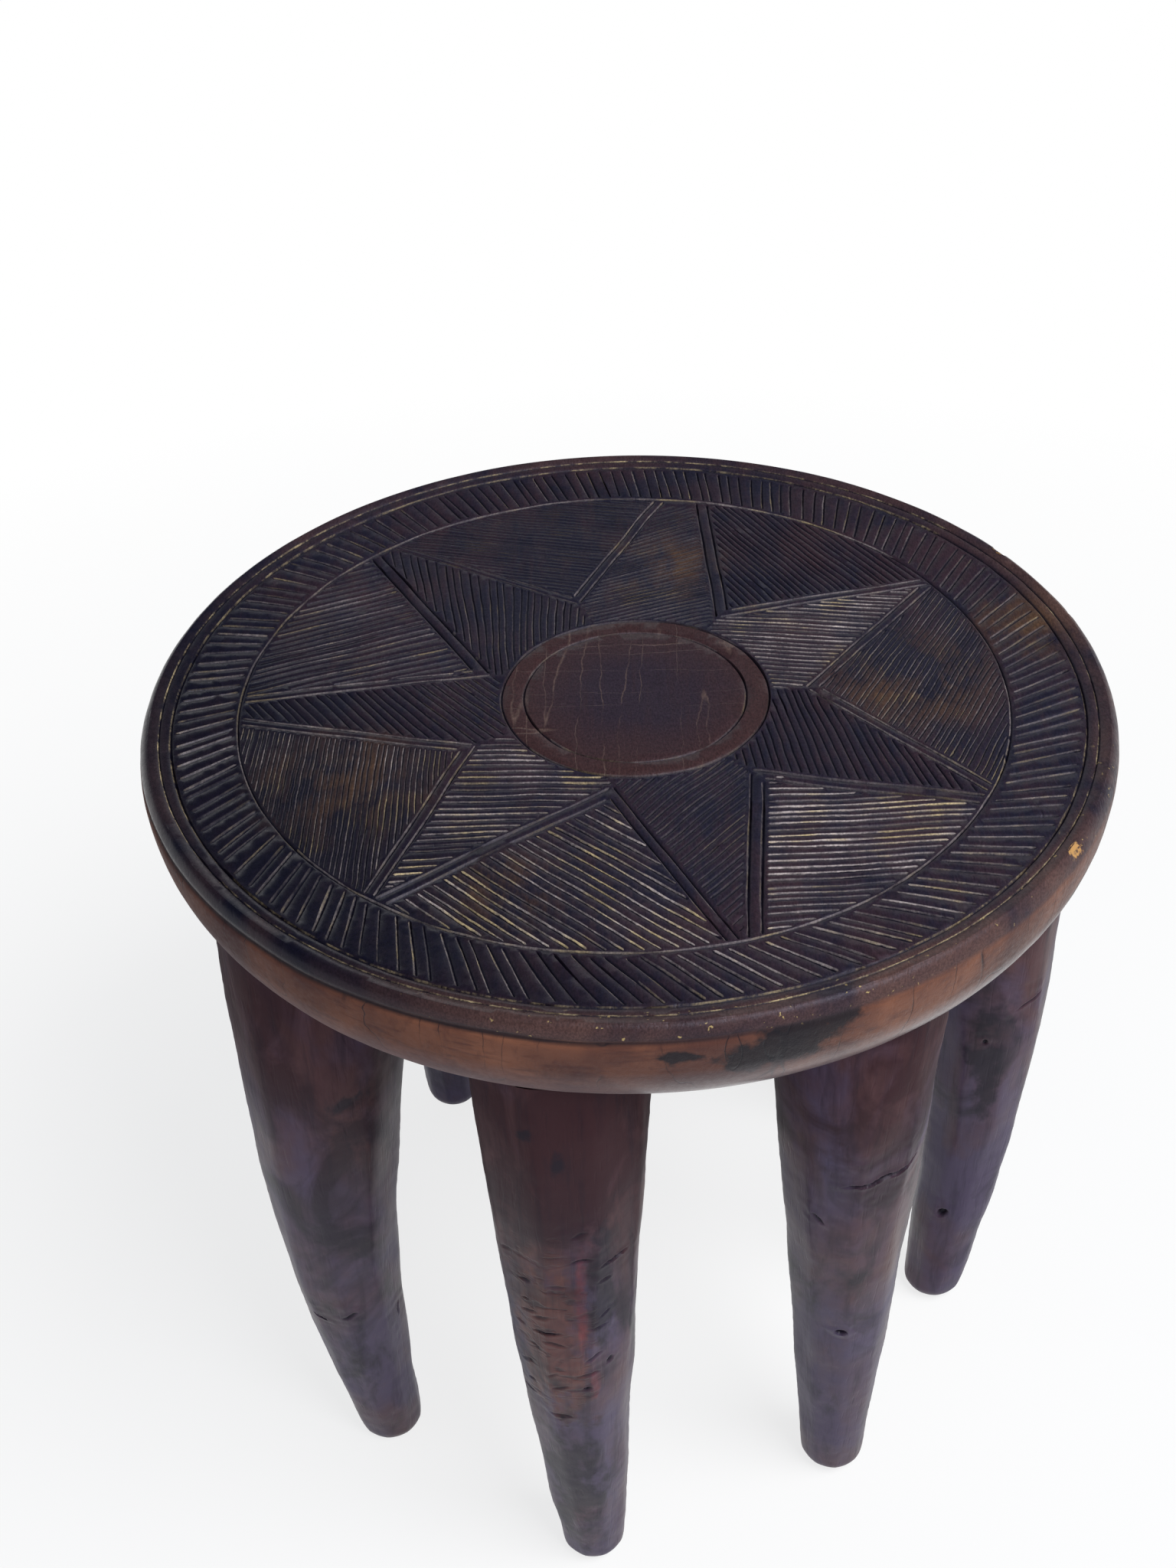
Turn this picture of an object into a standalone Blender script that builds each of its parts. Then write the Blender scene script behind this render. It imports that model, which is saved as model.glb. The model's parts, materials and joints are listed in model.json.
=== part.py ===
"""Carved wooden stool: a round, dished seat slab on eight bowed, tapering legs.

Each leg carries a round tenon that stands in a blind mortise in the seat's underside, and
its shoulder is coped to the seat's rounded flank. Units are metres and +Z is up. The origin
lies on the floor, under the middle of the seat.
"""

import math
from collections import namedtuple

import bmesh
import bpy
from mathutils import Matrix, Vector

# Overall sizes
STOOL_HEIGHT = 0.400
SEAT_RADIUS = 0.2115
SEAT_THICKNESS = 0.048

# Seat section: insets are measured in from the widest point of the flank, drops from the crest
RIM_ROLL_HEIGHT = 0.010
RIM_CREST_INSET = 0.005
RIM_LINE_INSET = 0.0095
BAND_INSET = 0.0145
BAND_WIDTH = 0.0295
FLANK_INSET = 0.021
RIM_LINE_DROP = 0.0012
BAND_DROP = 0.0022
DISH_DROP = 0.0045
MEDALLION_RADIUS = 0.0585
MEDALLION_BORDER = 0.0098

# Carving on the top: V-shaped cuts
RING_CUT_WIDTH = 0.0024
RING_CUT_DEPTH = 0.0016
TICK_CUT_WIDTH = 0.0020
TICK_CUT_DEPTH = 0.0011
STAR_VALLEY_RADIUS = 0.077
STAR_BORDER_WIDTH = 0.0048
STAR_CUT_WIDTH = 0.0022
STAR_CUT_DEPTH = 0.0014
HATCH_PITCH = 0.0040
HATCH_CUT_WIDTH = 0.0017
HATCH_CUT_DEPTH = 0.0010
LEAST_CUT_LENGTH = 0.009
CUT_GAP = 0.0007

# The border's ticks were cut by eye: how many stand in each sixth of the circle, anticlockwise from
# +X, and how far they lean from the radius at the start of each twelfth, in degrees
TICKS_PER_SIXTH = (30, 34, 28, 27, 27, 27)
TICK_SLANTS = (30, 30, 25, 13, 6, 16, 24, 30, 38, 40, 36, 29)

# The star's arms, anticlockwise, each with the valley after it: bearings of the arm's two corners on
# the ring round the field and of the valley, in degrees, the valley's share of the valley radius, and
# the bearing and share of the pitch of the hatching, first in the arm and then in the valley
Arm = namedtuple(
    "Arm",
    "first_corner last_corner valley valley_share"
    " arm_hatching arm_pitch_share valley_hatching valley_pitch_share",
)
STAR_ARMS = (
    Arm(29.8, 31.1, 53.6, 0.98, -8, 1.00, -60, 1.00),
    Arm(76.0, 84.0, 107.3, 1.01, 24, 1.30, -12, 1.45),
    Arm(131.4, 135.7, 165.1, 0.86, 96, 1.00, 23, 1.10),
    Arm(180.0, 185.8, 209.9, 1.00, -52, 1.10, 90, 1.30),
    Arm(232.8, 234.4, 264.3, 0.91, 1, 1.00, -42, 1.25),
    Arm(283.4, 286.1, 311.5, 1.05, 49, 1.00, 3, 1.00),
    Arm(331.3, 333.6, 360.7, 1.06, -78, 1.00, 62, 1.30),
)

# Legs: how far they stand in from the seat's edge at the top and at the foot, their bow and their girth
LEG_TOP_INSET = 0.048
LEG_FOOT_INSET = 0.046
LEG_BOW = 0.010
LEG_TOP_RADIUS = 0.038
LEG_FOOT_RADIUS = 0.015
FOOT_ROUNDING = 0.005

# Each leg was hewn by eye, so it has its own bearings, in degrees anticlockwise from +X, and its own
# share of the foot's inset, the bow and the top radius above
Leg = namedtuple("Leg", "top_bearing foot_bearing inset_share bow_share girth_share")
LEGS = {
    "leg_right": Leg(356, 354, 1.02, 1.00, 0.97),
    "leg_back_right": Leg(39, 39, 1.00, 0.90, 1.00),
    "leg_back": Leg(83, 83, 1.00, 0.90, 0.97),
    "leg_back_left": Leg(129, 131, 0.91, 0.90, 1.00),
    "leg_left": Leg(173, 173, 1.00, 0.90, 1.00),
    "leg_front_left": Leg(218, 218, 1.02, 1.20, 1.08),
    "leg_front": Leg(260, 262, 0.91, 1.00, 1.00),
    "leg_front_right": Leg(303, 309, 1.20, 0.10, 0.97),
}

# Joints between legs and seat
TENON_RADIUS = 0.018
TENON_LENGTH = 0.028
TENON_CHAMFER = 0.002
TENON_ROOT = 0.015
MORTISE_CLEARANCE = 0.0003
MORTISE_END_CLEARANCE = 0.001
SHOULDER_GAP = 0.0003

# How finely the round shapes are divided
SEAT_STEPS = 60
FLANK_STEPS = 7
ROLL_STEPS = 4
LEG_SIDES = 18
LEG_RINGS = 8
TENON_SIDES = 16
FOOT_STEPS = 3
ROUND_PROFILE = 0.5
FLAT_ANGLE = math.radians(0.1)

# Heights and radii that follow from the sizes above
UNDERSIDE = STOOL_HEIGHT - SEAT_THICKNESS
WIDEST_HEIGHT = STOOL_HEIGHT - RIM_ROLL_HEIGHT
FIELD_HEIGHT = STOOL_HEIGHT - DISH_DROP
BAND_RADIUS = SEAT_RADIUS - BAND_INSET
FIELD_RADIUS = BAND_RADIUS - BAND_WIDTH
LEG_TOP_CIRCLE = SEAT_RADIUS - LEG_TOP_INSET


def clear_scene():
    for obj in list(bpy.data.objects):
        bpy.data.objects.remove(obj)


def new_collection(name):
    collection = bpy.data.collections.new(name)
    bpy.context.scene.collection.children.link(collection)
    return collection


def wood(name, colour, roughness):
    material = bpy.data.materials.new(name)
    material.use_nodes = True
    shader = material.node_tree.nodes["Principled BSDF"]
    shader.inputs["Base Color"].default_value = (*colour, 1)
    shader.inputs["Roughness"].default_value = roughness
    shader.inputs["Metallic"].default_value = 0
    return material


def mesh_from(bm, name):
    mesh = bpy.data.meshes.new(name)
    bm.to_mesh(mesh)
    bm.free()
    return mesh


def add_object(name, mesh, collection):
    obj = bpy.data.objects.new(name, mesh)
    collection.objects.link(obj)
    return obj


def add_cutter(name, mesh):
    cutter = add_object(name, mesh, cutters)
    cutter.hide_render = True
    cutter.display_type = "WIRE"
    return cutter


def add_boolean(obj, operation, other):
    boolean = obj.modifiers.new(other.name, "BOOLEAN")
    boolean.operation = operation
    boolean.object = other


def turn(obj, steps):
    """Turn the object's profile about the Z axis."""
    screw = obj.modifiers.new("turned", "SCREW")
    screw.steps = steps
    screw.render_steps = steps
    screw.use_smooth_shade = False
    screw.use_merge_vertices = True
    screw.merge_threshold = 0.00001


def merge_flat_faces(obj):
    """Join faces that lie in one plane, so that cuts across them leave fewer pieces."""
    dissolve = obj.modifiers.new("flat_faces_merged", "DECIMATE")
    dissolve.decimate_type = "DISSOLVE"
    dissolve.angle_limit = FLAT_ANGLE


def profile_mesh(name, points):
    """A chain of edges in the XZ plane, to be turned."""
    mesh = bpy.data.meshes.new(name)
    edges = [(i, i + 1) for i in range(len(points) - 1)]
    mesh.from_pydata([(radius, 0, height) for radius, height in points], edges, [])
    return mesh


def ring_cut(radius, height):
    """Section of one ring-shaped cut: its inner lip, its bottom and its outer lip."""
    half = RING_CUT_WIDTH / 2
    return [(radius - half, height), (radius, height - RING_CUT_DEPTH), (radius + half, height)]


def flank(gap):
    """The rounded flank below the widest point, grown outwards by a gap: a quarter ellipse."""
    across = FLANK_INSET + gap
    down = WIDEST_HEIGHT - UNDERSIDE + gap
    angles = [math.radians(90) * i / FLANK_STEPS for i in range(FLANK_STEPS + 1)]
    centre = SEAT_RADIUS - FLANK_INSET
    return [(centre + across * math.cos(a), WIDEST_HEIGHT - down * math.sin(a)) for a in angles]


def rim_roll():
    """The rounded edge from the crest of the rim down to just above the widest point."""
    crest_radius = SEAT_RADIUS - RIM_CREST_INSET
    angles = [math.radians(90) * i / ROLL_STEPS for i in range(ROLL_STEPS)]
    return [
        (
            crest_radius + RIM_CREST_INSET * math.sin(a),
            WIDEST_HEIGHT + RIM_ROLL_HEIGHT * math.cos(a),
        )
        for a in angles
    ]


def seat_section():
    """Half section of the seat, from the middle of the top round to the middle of the underside."""
    points = [(0, FIELD_HEIGHT)]
    points += ring_cut(MEDALLION_RADIUS - MEDALLION_BORDER, FIELD_HEIGHT)
    points += ring_cut(MEDALLION_RADIUS, FIELD_HEIGHT)
    points += ring_cut(FIELD_RADIUS, FIELD_HEIGHT)
    points += ring_cut(BAND_RADIUS, STOOL_HEIGHT - BAND_DROP)
    points += ring_cut(SEAT_RADIUS - RIM_LINE_INSET, STOOL_HEIGHT - RIM_LINE_DROP)
    points += rim_roll()
    points += flank(0)
    points += [(0, UNDERSIDE)]
    return points


def polar(radius, degrees):
    """A place on the plan of the top."""
    bearing = math.radians(degrees)
    return Vector((radius * math.cos(bearing), radius * math.sin(bearing)))


def on_top(place):
    """The point of the carved top over a place on its plan: flat over the field, rising along the band."""
    along_band = max(0, (place.length - FIELD_RADIUS) / BAND_WIDTH)
    return place.to_3d() + Vector((0, 0, FIELD_HEIGHT + along_band * (DISH_DROP - BAND_DROP)))


def add_cut(bm, start, along, span, width, depth):
    """A straight V-shaped cut along a span of a line on the plan, if it is long enough to be one.

    It is a three-sided prism with one edge down, which stands half its depth proud of the top.
    """
    if span[1] - span[0] < LEAST_CUT_LENGTH:
        return
    near = on_top(start + along * span[0])
    far = on_top(start + along * span[1])
    direction = (far - near).normalized()
    side = direction.cross(Vector((0, 0, 1))).normalized()
    down = direction.cross(side)
    width_at_surface = 2 / math.sqrt(3)
    frame = Matrix.Identity(4)
    frame.col[0].xyz = side * width / width_at_surface
    frame.col[1].xyz = down * depth
    frame.col[2].xyz = far - near
    frame.col[3].xyz = (near + far) / 2
    bmesh.ops.create_cone(
        bm, cap_ends=True, segments=3, radius1=1, radius2=1, depth=1, matrix=frame
    )


def inside_circle(start, along, radius):
    """The span of a line that lies inside a circle round the middle of the seat."""
    nearest = -start.dot(along)
    miss = (start + along * nearest).length
    half = math.sqrt(max(0, radius**2 - miss**2))
    return nearest - half, nearest + half


def add_ticks(bm):
    """The border of slanting ticks between the field and the rim."""
    margin = (RING_CUT_WIDTH + TICK_CUT_WIDTH) / 2 + CUT_GAP
    sixth = 360 / len(TICKS_PER_SIXTH)
    twelfth = 360 / len(TICK_SLANTS)
    for i, count in enumerate(TICKS_PER_SIXTH):
        for j in range(count):
            bearing = sixth * (i + j / count)
            place = int(bearing / twelfth)
            slant, next_slant = TICK_SLANTS[place], TICK_SLANTS[(place + 1) % len(TICK_SLANTS)]
            slant += (next_slant - slant) * (bearing / twelfth - place)
            start = polar(FIELD_RADIUS, bearing)
            along = polar(1, bearing + slant)
            _, inner = inside_circle(start, along, FIELD_RADIUS + margin)
            _, outer = inside_circle(start, along, BAND_RADIUS - margin)
            add_cut(bm, start, along, (inner, outer), TICK_CUT_WIDTH, TICK_CUT_DEPTH)


def border(point, other, inside):
    """A straight border through two places: one of them, and the way to the side of a third place."""
    inwards = (other - point).orthogonal().normalized()
    return point, inwards if inwards.dot(inside - point) > 0 else -inwards


def add_field_cut(bm, start, along, width, depth, borders):
    """A cut along a line through the field that keeps clear of both rings and of each border."""
    from_ring = (RING_CUT_WIDTH + width) / 2 + CUT_GAP
    low, high = inside_circle(start, along, FIELD_RADIUS - from_ring)
    for (point, inwards), clearance in borders:
        rate = along.dot(inwards)
        crossing = (clearance - inwards.dot(start - point)) / rate
        low, high = (max(low, crossing), high) if rate > 0 else (low, min(high, crossing))
    enter, leave = inside_circle(start, along, MEDALLION_RADIUS + from_ring)
    before, after = (low, min(high, enter)), (max(low, leave), high)
    longer = before if before[1] - before[0] > after[1] - after[0] else after
    add_cut(bm, start, along, longer if enter < leave else (low, high), width, depth)


def add_hatching(bm, degrees, pitch, borders):
    """Cuts side by side, a pitch apart, in the part of the field that lies inside all borders."""
    along = polar(1, degrees)
    across = polar(1, degrees + 90)
    rows = math.ceil(FIELD_RADIUS / pitch)
    for row in range(-rows, rows):
        start = across * pitch * (row + 0.5)
        add_field_cut(bm, start, along, HATCH_CUT_WIDTH, HATCH_CUT_DEPTH, borders)


def add_star_edge(bm, corner, valley, arm_axis, valley_axis):
    """One edge of the star: a flat border between two cuts, which stop short of those across each axis."""
    along = (valley - corner).normalized()
    from_axis = (STAR_CUT_WIDTH + CUT_GAP) / 2
    _, into_arm = border(corner, valley, arm_axis[0])
    for side, axis in ((1, arm_axis), (-1, valley_axis)):
        start = corner + into_arm * side * STAR_BORDER_WIDTH / 2
        borders = [(border(axis[0], axis[1], corner), from_axis), ((valley, -along), 0)]
        add_field_cut(bm, start, along, STAR_CUT_WIDTH, STAR_CUT_DEPTH, borders)


def add_star(bm):
    """The star round the medallion, its arms and valleys filled with hatching."""
    from_edge = (STAR_BORDER_WIDTH + STAR_CUT_WIDTH + HATCH_CUT_WIDTH) / 2 + CUT_GAP
    from_spoke = (HATCH_CUT_WIDTH + CUT_GAP) / 2
    middle = Vector((0, 0))
    firsts = [polar(FIELD_RADIUS, arm.first_corner) for arm in STAR_ARMS]
    lasts = [polar(FIELD_RADIUS, arm.last_corner) for arm in STAR_ARMS]
    valleys = [polar(STAR_VALLEY_RADIUS * arm.valley_share, arm.valley) for arm in STAR_ARMS]
    for i, arm in enumerate(STAR_ARMS):
        first, last, next_first = firsts[i], lasts[i], firsts[(i + 1) % len(firsts)]
        valley_before, valley = valleys[i - 1], valleys[i]
        arm_axis = (first + last) / 2, (valley_before + valley) / 2
        axis_before = valley_before, (lasts[i - 1] + first) / 2
        axis_after = valley, (last + next_first) / 2
        add_star_edge(bm, first, valley_before, arm_axis, axis_before)
        add_star_edge(bm, last, valley, arm_axis, axis_after)
        arm_borders = [
            (border(first, valley_before, last), from_edge),
            (border(last, valley, first), from_edge),
            (border(middle, valley_before, last), from_spoke),
            (border(middle, valley, first), from_spoke),
        ]
        add_hatching(bm, arm.arm_hatching, HATCH_PITCH * arm.arm_pitch_share, arm_borders)
        valley_borders = [
            (border(last, valley, next_first), from_edge),
            (border(next_first, valley, last), from_edge),
        ]
        add_hatching(bm, arm.valley_hatching, HATCH_PITCH * arm.valley_pitch_share, valley_borders)


def leg_axis(leg, height):
    """Middle of the leg at a height, in a frame whose X axis points out through the leg's top."""
    share = height / UNDERSIDE
    foot_circle = SEAT_RADIUS - LEG_FOOT_INSET * leg.inset_share
    foot_turn = math.radians(leg.foot_bearing - leg.top_bearing)
    foot = Vector((foot_circle * math.cos(foot_turn), foot_circle * math.sin(foot_turn), 0))
    top = Vector((LEG_TOP_CIRCLE, 0, 0))
    outwards = Vector((LEG_BOW * leg.bow_share * math.sin(math.pi * share), 0, 0))
    return foot.lerp(top, share) + outwards


def leg_blank(name, leg):
    """A tapering cone with a rounded foot, bent to the leg's axis, reaching up into the seat."""
    taper = (LEG_TOP_RADIUS * leg.girth_share - LEG_FOOT_RADIUS) / UNDERSIDE
    bm = bmesh.new()
    bmesh.ops.create_cone(
        bm,
        cap_ends=True,
        segments=LEG_SIDES,
        radius1=LEG_FOOT_RADIUS,
        radius2=LEG_FOOT_RADIUS + taper * WIDEST_HEIGHT,
        depth=WIDEST_HEIGHT,
        matrix=Matrix.Translation((0, 0, WIDEST_HEIGHT / 2)),
    )
    foot = [edge for edge in bm.edges if all(vert.co.z == 0 for vert in edge.verts)]
    upright = [edge for edge in bm.edges if edge.verts[0].co.z != edge.verts[1].co.z]
    bmesh.ops.subdivide_edges(bm, edges=upright, cuts=LEG_RINGS)
    bmesh.ops.bevel(
        bm, geom=foot, offset=FOOT_ROUNDING, segments=FOOT_STEPS, profile=ROUND_PROFILE, affect="EDGES"
    )
    for vert in bm.verts:
        vert.co += leg_axis(leg, vert.co.z)
    mesh = mesh_from(bm, name)
    mesh.shade_smooth()
    mesh.set_sharp_from_angle(angle=math.radians(40))
    return mesh


def peg_mesh(name, radius, length, chamfer):
    """A round peg on the top of a leg at bearing 0, rooted in the leg and rising into the seat."""
    bottom = UNDERSIDE - TENON_ROOT
    top = UNDERSIDE + length
    place = Vector((LEG_TOP_CIRCLE, 0, (bottom + top) / 2))
    bm = bmesh.new()
    bmesh.ops.create_cone(
        bm,
        cap_ends=True,
        segments=TENON_SIDES,
        radius1=radius,
        radius2=radius,
        depth=top - bottom,
        matrix=Matrix.Translation(place),
    )
    if chamfer:
        rim = [edge for edge in bm.edges if all(vert.co.z > place.z for vert in edge.verts)]
        bmesh.ops.bevel(bm, geom=rim, offset=chamfer, segments=1, affect="EDGES")
    return mesh_from(bm, name)


def add_legs():
    """Each leg is coped to the seat with a small gap, and then gets its tenon."""
    material = wood("leg_wood", (0.085, 0.040, 0.036), 0.42)
    envelope_section = [(0, STOOL_HEIGHT), (SEAT_RADIUS + SHOULDER_GAP, STOOL_HEIGHT)]
    envelope_section += flank(SHOULDER_GAP) + [(0, UNDERSIDE - SHOULDER_GAP)]
    envelope = add_cutter("seat_envelope", profile_mesh("seat_envelope", envelope_section))
    turn(envelope, SEAT_STEPS)
    tenon_mesh = peg_mesh("tenon", TENON_RADIUS, TENON_LENGTH, TENON_CHAMFER)
    for name, leg in LEGS.items():
        blank = add_object(name, leg_blank(name, leg), stool)
        blank.data.materials.append(material)
        tenon = add_cutter(f"{name}_tenon", tenon_mesh)
        blank.rotation_euler.z = math.radians(leg.top_bearing)
        tenon.rotation_euler.z = math.radians(leg.top_bearing)
        add_boolean(blank, "DIFFERENCE", envelope)
        add_boolean(blank, "UNION", tenon)


def add_seat():
    """The turned slab with its mortises bored from below and its top carved."""
    seat = add_object("seat", profile_mesh("seat", seat_section()), stool)
    seat.data.materials.append(wood("seat_wood", (0.060, 0.036, 0.036), 0.45))
    turn(seat, SEAT_STEPS)
    merge_flat_faces(seat)
    mortise_radius = TENON_RADIUS + MORTISE_CLEARANCE
    mortise_mesh = peg_mesh("mortise", mortise_radius, TENON_LENGTH + MORTISE_END_CLEARANCE, 0)
    for name, leg in LEGS.items():
        mortise = add_cutter(f"{name}_mortise", mortise_mesh)
        mortise.rotation_euler.z = math.radians(leg.top_bearing)
        add_boolean(seat, "DIFFERENCE", mortise)
    bm = bmesh.new()
    add_ticks(bm)
    add_star(bm)
    add_boolean(seat, "DIFFERENCE", add_cutter("carving", mesh_from(bm, "carving")))


clear_scene()
stool = new_collection("carved_stool")
cutters = new_collection("cutters")
add_seat()
add_legs()
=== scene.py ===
"""Looks of the carved stool: its worn, carved seat, its hewn legs, and the studio they stand in.

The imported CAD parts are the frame. All sizes are in metres, +Z is up, and the photograph looks
along +Y, down on the seat.
"""

import json
import math
import random

import bmesh
import bpy
from mathutils import Matrix, Vector, kdtree, noise
from mathutils.geometry import delaunay_2d_cdt, intersect_line_line


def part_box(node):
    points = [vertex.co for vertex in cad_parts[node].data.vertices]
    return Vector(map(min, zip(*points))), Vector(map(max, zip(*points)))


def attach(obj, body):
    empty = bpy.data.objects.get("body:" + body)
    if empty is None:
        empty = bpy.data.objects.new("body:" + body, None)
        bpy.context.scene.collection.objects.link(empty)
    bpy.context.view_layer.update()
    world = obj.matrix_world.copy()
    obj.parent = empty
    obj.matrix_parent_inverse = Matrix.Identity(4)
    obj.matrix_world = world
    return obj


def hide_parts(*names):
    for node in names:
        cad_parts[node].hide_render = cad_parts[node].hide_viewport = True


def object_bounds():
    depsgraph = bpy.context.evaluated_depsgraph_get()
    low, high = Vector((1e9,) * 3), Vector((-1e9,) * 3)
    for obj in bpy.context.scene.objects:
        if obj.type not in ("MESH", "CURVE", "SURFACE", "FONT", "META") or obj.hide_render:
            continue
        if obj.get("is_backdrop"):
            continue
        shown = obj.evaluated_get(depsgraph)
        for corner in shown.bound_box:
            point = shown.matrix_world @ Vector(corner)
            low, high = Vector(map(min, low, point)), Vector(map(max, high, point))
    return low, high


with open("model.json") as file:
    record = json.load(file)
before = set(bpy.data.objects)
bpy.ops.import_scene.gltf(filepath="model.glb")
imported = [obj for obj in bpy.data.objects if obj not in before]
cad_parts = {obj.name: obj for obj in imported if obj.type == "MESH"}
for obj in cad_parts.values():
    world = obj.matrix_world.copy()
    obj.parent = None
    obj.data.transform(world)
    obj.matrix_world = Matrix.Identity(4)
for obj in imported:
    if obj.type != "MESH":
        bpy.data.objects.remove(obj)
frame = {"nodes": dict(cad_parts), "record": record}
cad_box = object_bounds()


# Camera
# The photograph was taken from in front of the stool and well above it, with a normal lens. The
# camera's place was found from the ellipses of the seat and the places of the feet.
PHOTO_HEIGHT_PIXELS = 2048
FOCAL_LENGTH_PIXELS = 2450
CAMERA_PLACE = Vector((0, -0.6709, 0.8732))
CAMERA_RIGHT = Vector((0.99960, 0.00514, -0.02779))
CAMERA_UP = Vector((0.01864, 0.61926, 0.78496))


def add_object(name, data):
    """A new object in the scene."""
    thing = bpy.data.objects.new(name, data)
    bpy.context.scene.collection.objects.link(thing)
    return thing


camera_data = bpy.data.cameras.new("photo_camera")
camera_data.sensor_width = 36
camera_data.lens = camera_data.sensor_width * FOCAL_LENGTH_PIXELS / PHOTO_HEIGHT_PIXELS
camera = add_object("photo_camera", camera_data)
camera_axes = Matrix((CAMERA_RIGHT, CAMERA_UP, CAMERA_RIGHT.cross(CAMERA_UP))).transposed()
camera.matrix_world = Matrix.LocRotScale(CAMERA_PLACE, camera_axes.to_quaternion(), None)
bpy.context.scene.camera = camera


# Seat
# A round slab of dark hardwood, hewn by hand and a little dished. Rings, a border of slanting ticks
# and a star filled with hatching are cut into its top with a V-shaped gouge, all by eye. Years of
# sitting have polished the lands, filled the cuts with dust and worn the rim back to brown wood.
seat_low, seat_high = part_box("seat")
SEAT_RADIUS = seat_high.x
SEAT_TOP = seat_high.z
SEAT_UNDERSIDE = seat_low.z
CREST_RADIUS = SEAT_RADIUS - 0.005
RIM_LINE_RADIUS = SEAT_RADIUS - 0.0095
BAND_RADIUS = SEAT_RADIUS - 0.0145
FIELD_RADIUS = BAND_RADIUS - 0.0295
ROLL_HEIGHT = 0.010
FLANK_INSET = 0.021
FIELD_CENTRE = Vector((-0.0015, 0.0013))
MEDALLION_CENTRE = Vector((0.004, -0.002))
MEDALLION_RADIUS = 0.0585
MEDALLION_DISC_RADIUS = 0.0487

# Rings: centre, radius, width and depth of the cut, the pale dust and painted highlight on its lit wall,
# and number of points
RINGS = (
    (MEDALLION_CENTRE, MEDALLION_DISC_RADIUS, 0.0017, 0.0015, 0.20, 120),
    (MEDALLION_CENTRE, MEDALLION_RADIUS, 0.0019, 0.0016, 0.15, 140),
    (FIELD_CENTRE, FIELD_RADIUS, 0.0018, 0.0013, 0.45, 300),
    (Vector((0, 0)), BAND_RADIUS, 0.0020, 0.0014, 0.45, 340),
    (Vector((0, 0)), RIM_LINE_RADIUS, 0.0015, 0.0009, 0.70, 340),
)

# Radius and drop below the crest of the uncarved top
TOP_SECTION = (
    (0, 0.0047),
    (MEDALLION_RADIUS, 0.0046),
    (FIELD_RADIUS, 0.0045),
    (BAND_RADIUS, 0.0022),
    (RIM_LINE_RADIUS, 0.0012),
    (CREST_RADIUS, 0),
)

# The star, clockwise from its far left tip: each tip's two corners on the ring round the field, and
# the valleys that follow each tip
STAR_TIPS = (
    (Vector((-0.121, 0.118)), Vector((-0.112, 0.127))),
    (Vector((0.017, 0.163)), Vector((0.040, 0.160))),
    (Vector((0.139, 0.084)), Vector((0.143, 0.082))),
    (Vector((0.149, -0.074)), Vector((0.146, -0.080))),
    (Vector((0.046, -0.159)), Vector((0.038, -0.160))),
    (Vector((-0.098, -0.137)), Vector((-0.101, -0.133))),
    (Vector((-0.167, -0.017)), Vector((-0.167, 0.000))),
)
STAR_VALLEYS = (
    Vector((-0.023, 0.074)),
    Vector((0.045, 0.061)),
    Vector((0.0815, 0.001)),
    Vector((0.0535, -0.0605)),
    Vector((-0.007, -0.070)),
    Vector((-0.067, -0.0385)),
    Vector((-0.064, 0.017)),
)

# Each edge of the star is a strip between two cuts: width of the strip, width and depth of the cuts, and
# the pale dust and painted highlight on their lit walls
BOLD = (0.0052, 0.0022, 0.0016, 0.20)
PLAIN = (0.0044, 0.0018, 0.0012, 0.38)
WORN = (0.0034, 0.0013, 0.0007, 0.25)
STAR_EDGES = (
    (WORN, PLAIN),
    (BOLD, PLAIN),
    (PLAIN, PLAIN),
    (BOLD, BOLD),
    (PLAIN, BOLD),
    (PLAIN, PLAIN),
    (PLAIN, BOLD),
)

# Hatching, zone by zone: bearings of the first and last cut in degrees, pitch, width and depth of the
# cuts, and how much pale dust and painted highlight lies on the wall of each that faces the light
ARM_HATCHING = (
    (86, 106, 0.0031, 0.0015, 0.0009, 0.18),
    (18, 30, 0.0028, 0.0011, 0.0006, 0.15),
    (-9, -6, 0.0031, 0.0015, 0.0010, 0.68),
    (-86, -70, 0.0034, 0.0016, 0.0010, 0.08),
    (50, 48, 0.0033, 0.0014, 0.0009, 0.12),
    (4, -3, 0.0036, 0.0016, 0.0011, 0.72),
    (-56, -48, 0.0040, 0.0015, 0.0009, 0.10),
)
VALLEY_HATCHING = (
    (-16, -9, 0.0026, 0.0010, 0.0005, 0.08),
    (-64, -57, 0.0032, 0.0015, 0.0009, 0.12),
    (64, 60, 0.0027, 0.0012, 0.0007, 0.28),
    (4, 2, 0.0037, 0.0016, 0.0011, 0.84),
    (-44, -40, 0.0046, 0.0016, 0.0010, 1.00),
    (91, 89, 0.0023, 0.0011, 0.0007, 0.38),
    (18, 28, 0.0041, 0.0016, 0.0010, 0.24),
)

# Border ticks: how many stand in each sixth of the circle, anticlockwise from +X, and at the start of each
# twelfth their slant from the radius, in degrees, and the pale dust and painted highlight on their lit
# walls
TICKS_PER_SIXTH = (30, 34, 28, 27, 27, 27)
TICK_SLANTS = (30, 30, 25, 13, 6, 16, 24, 30, 38, 40, 36, 29)
TICK_DUST_AND_HIGHLIGHT = (0.25, 0.25, 0.3, 0.35, 0.3, 0.3, 0.4, 0.2, 0.4, 0.5, 0.6, 0.3)
TICK_WIDTH = 0.0020
TICK_DEPTH = 0.0012
CUT_GAP = 0.0002
STRIP_OVERSHOOT = 0.004
SHORTEST_HATCH = 0.006
HATCH_SHORTFALL = 0.0008

# How far the hand strays from a ruled ring, strip, hatch line or tick, how much it shakes, and how close
# together the waves of both come
RING_WANDER = 0.0005
STRIP_WANDER = 0.0008
HATCH_WANDER = 0.0011
TICK_WANDER = 0.0009
SHAKE = 0.00025
WANDER_WAVES = 28
SHAKE_WAVES = 120

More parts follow.
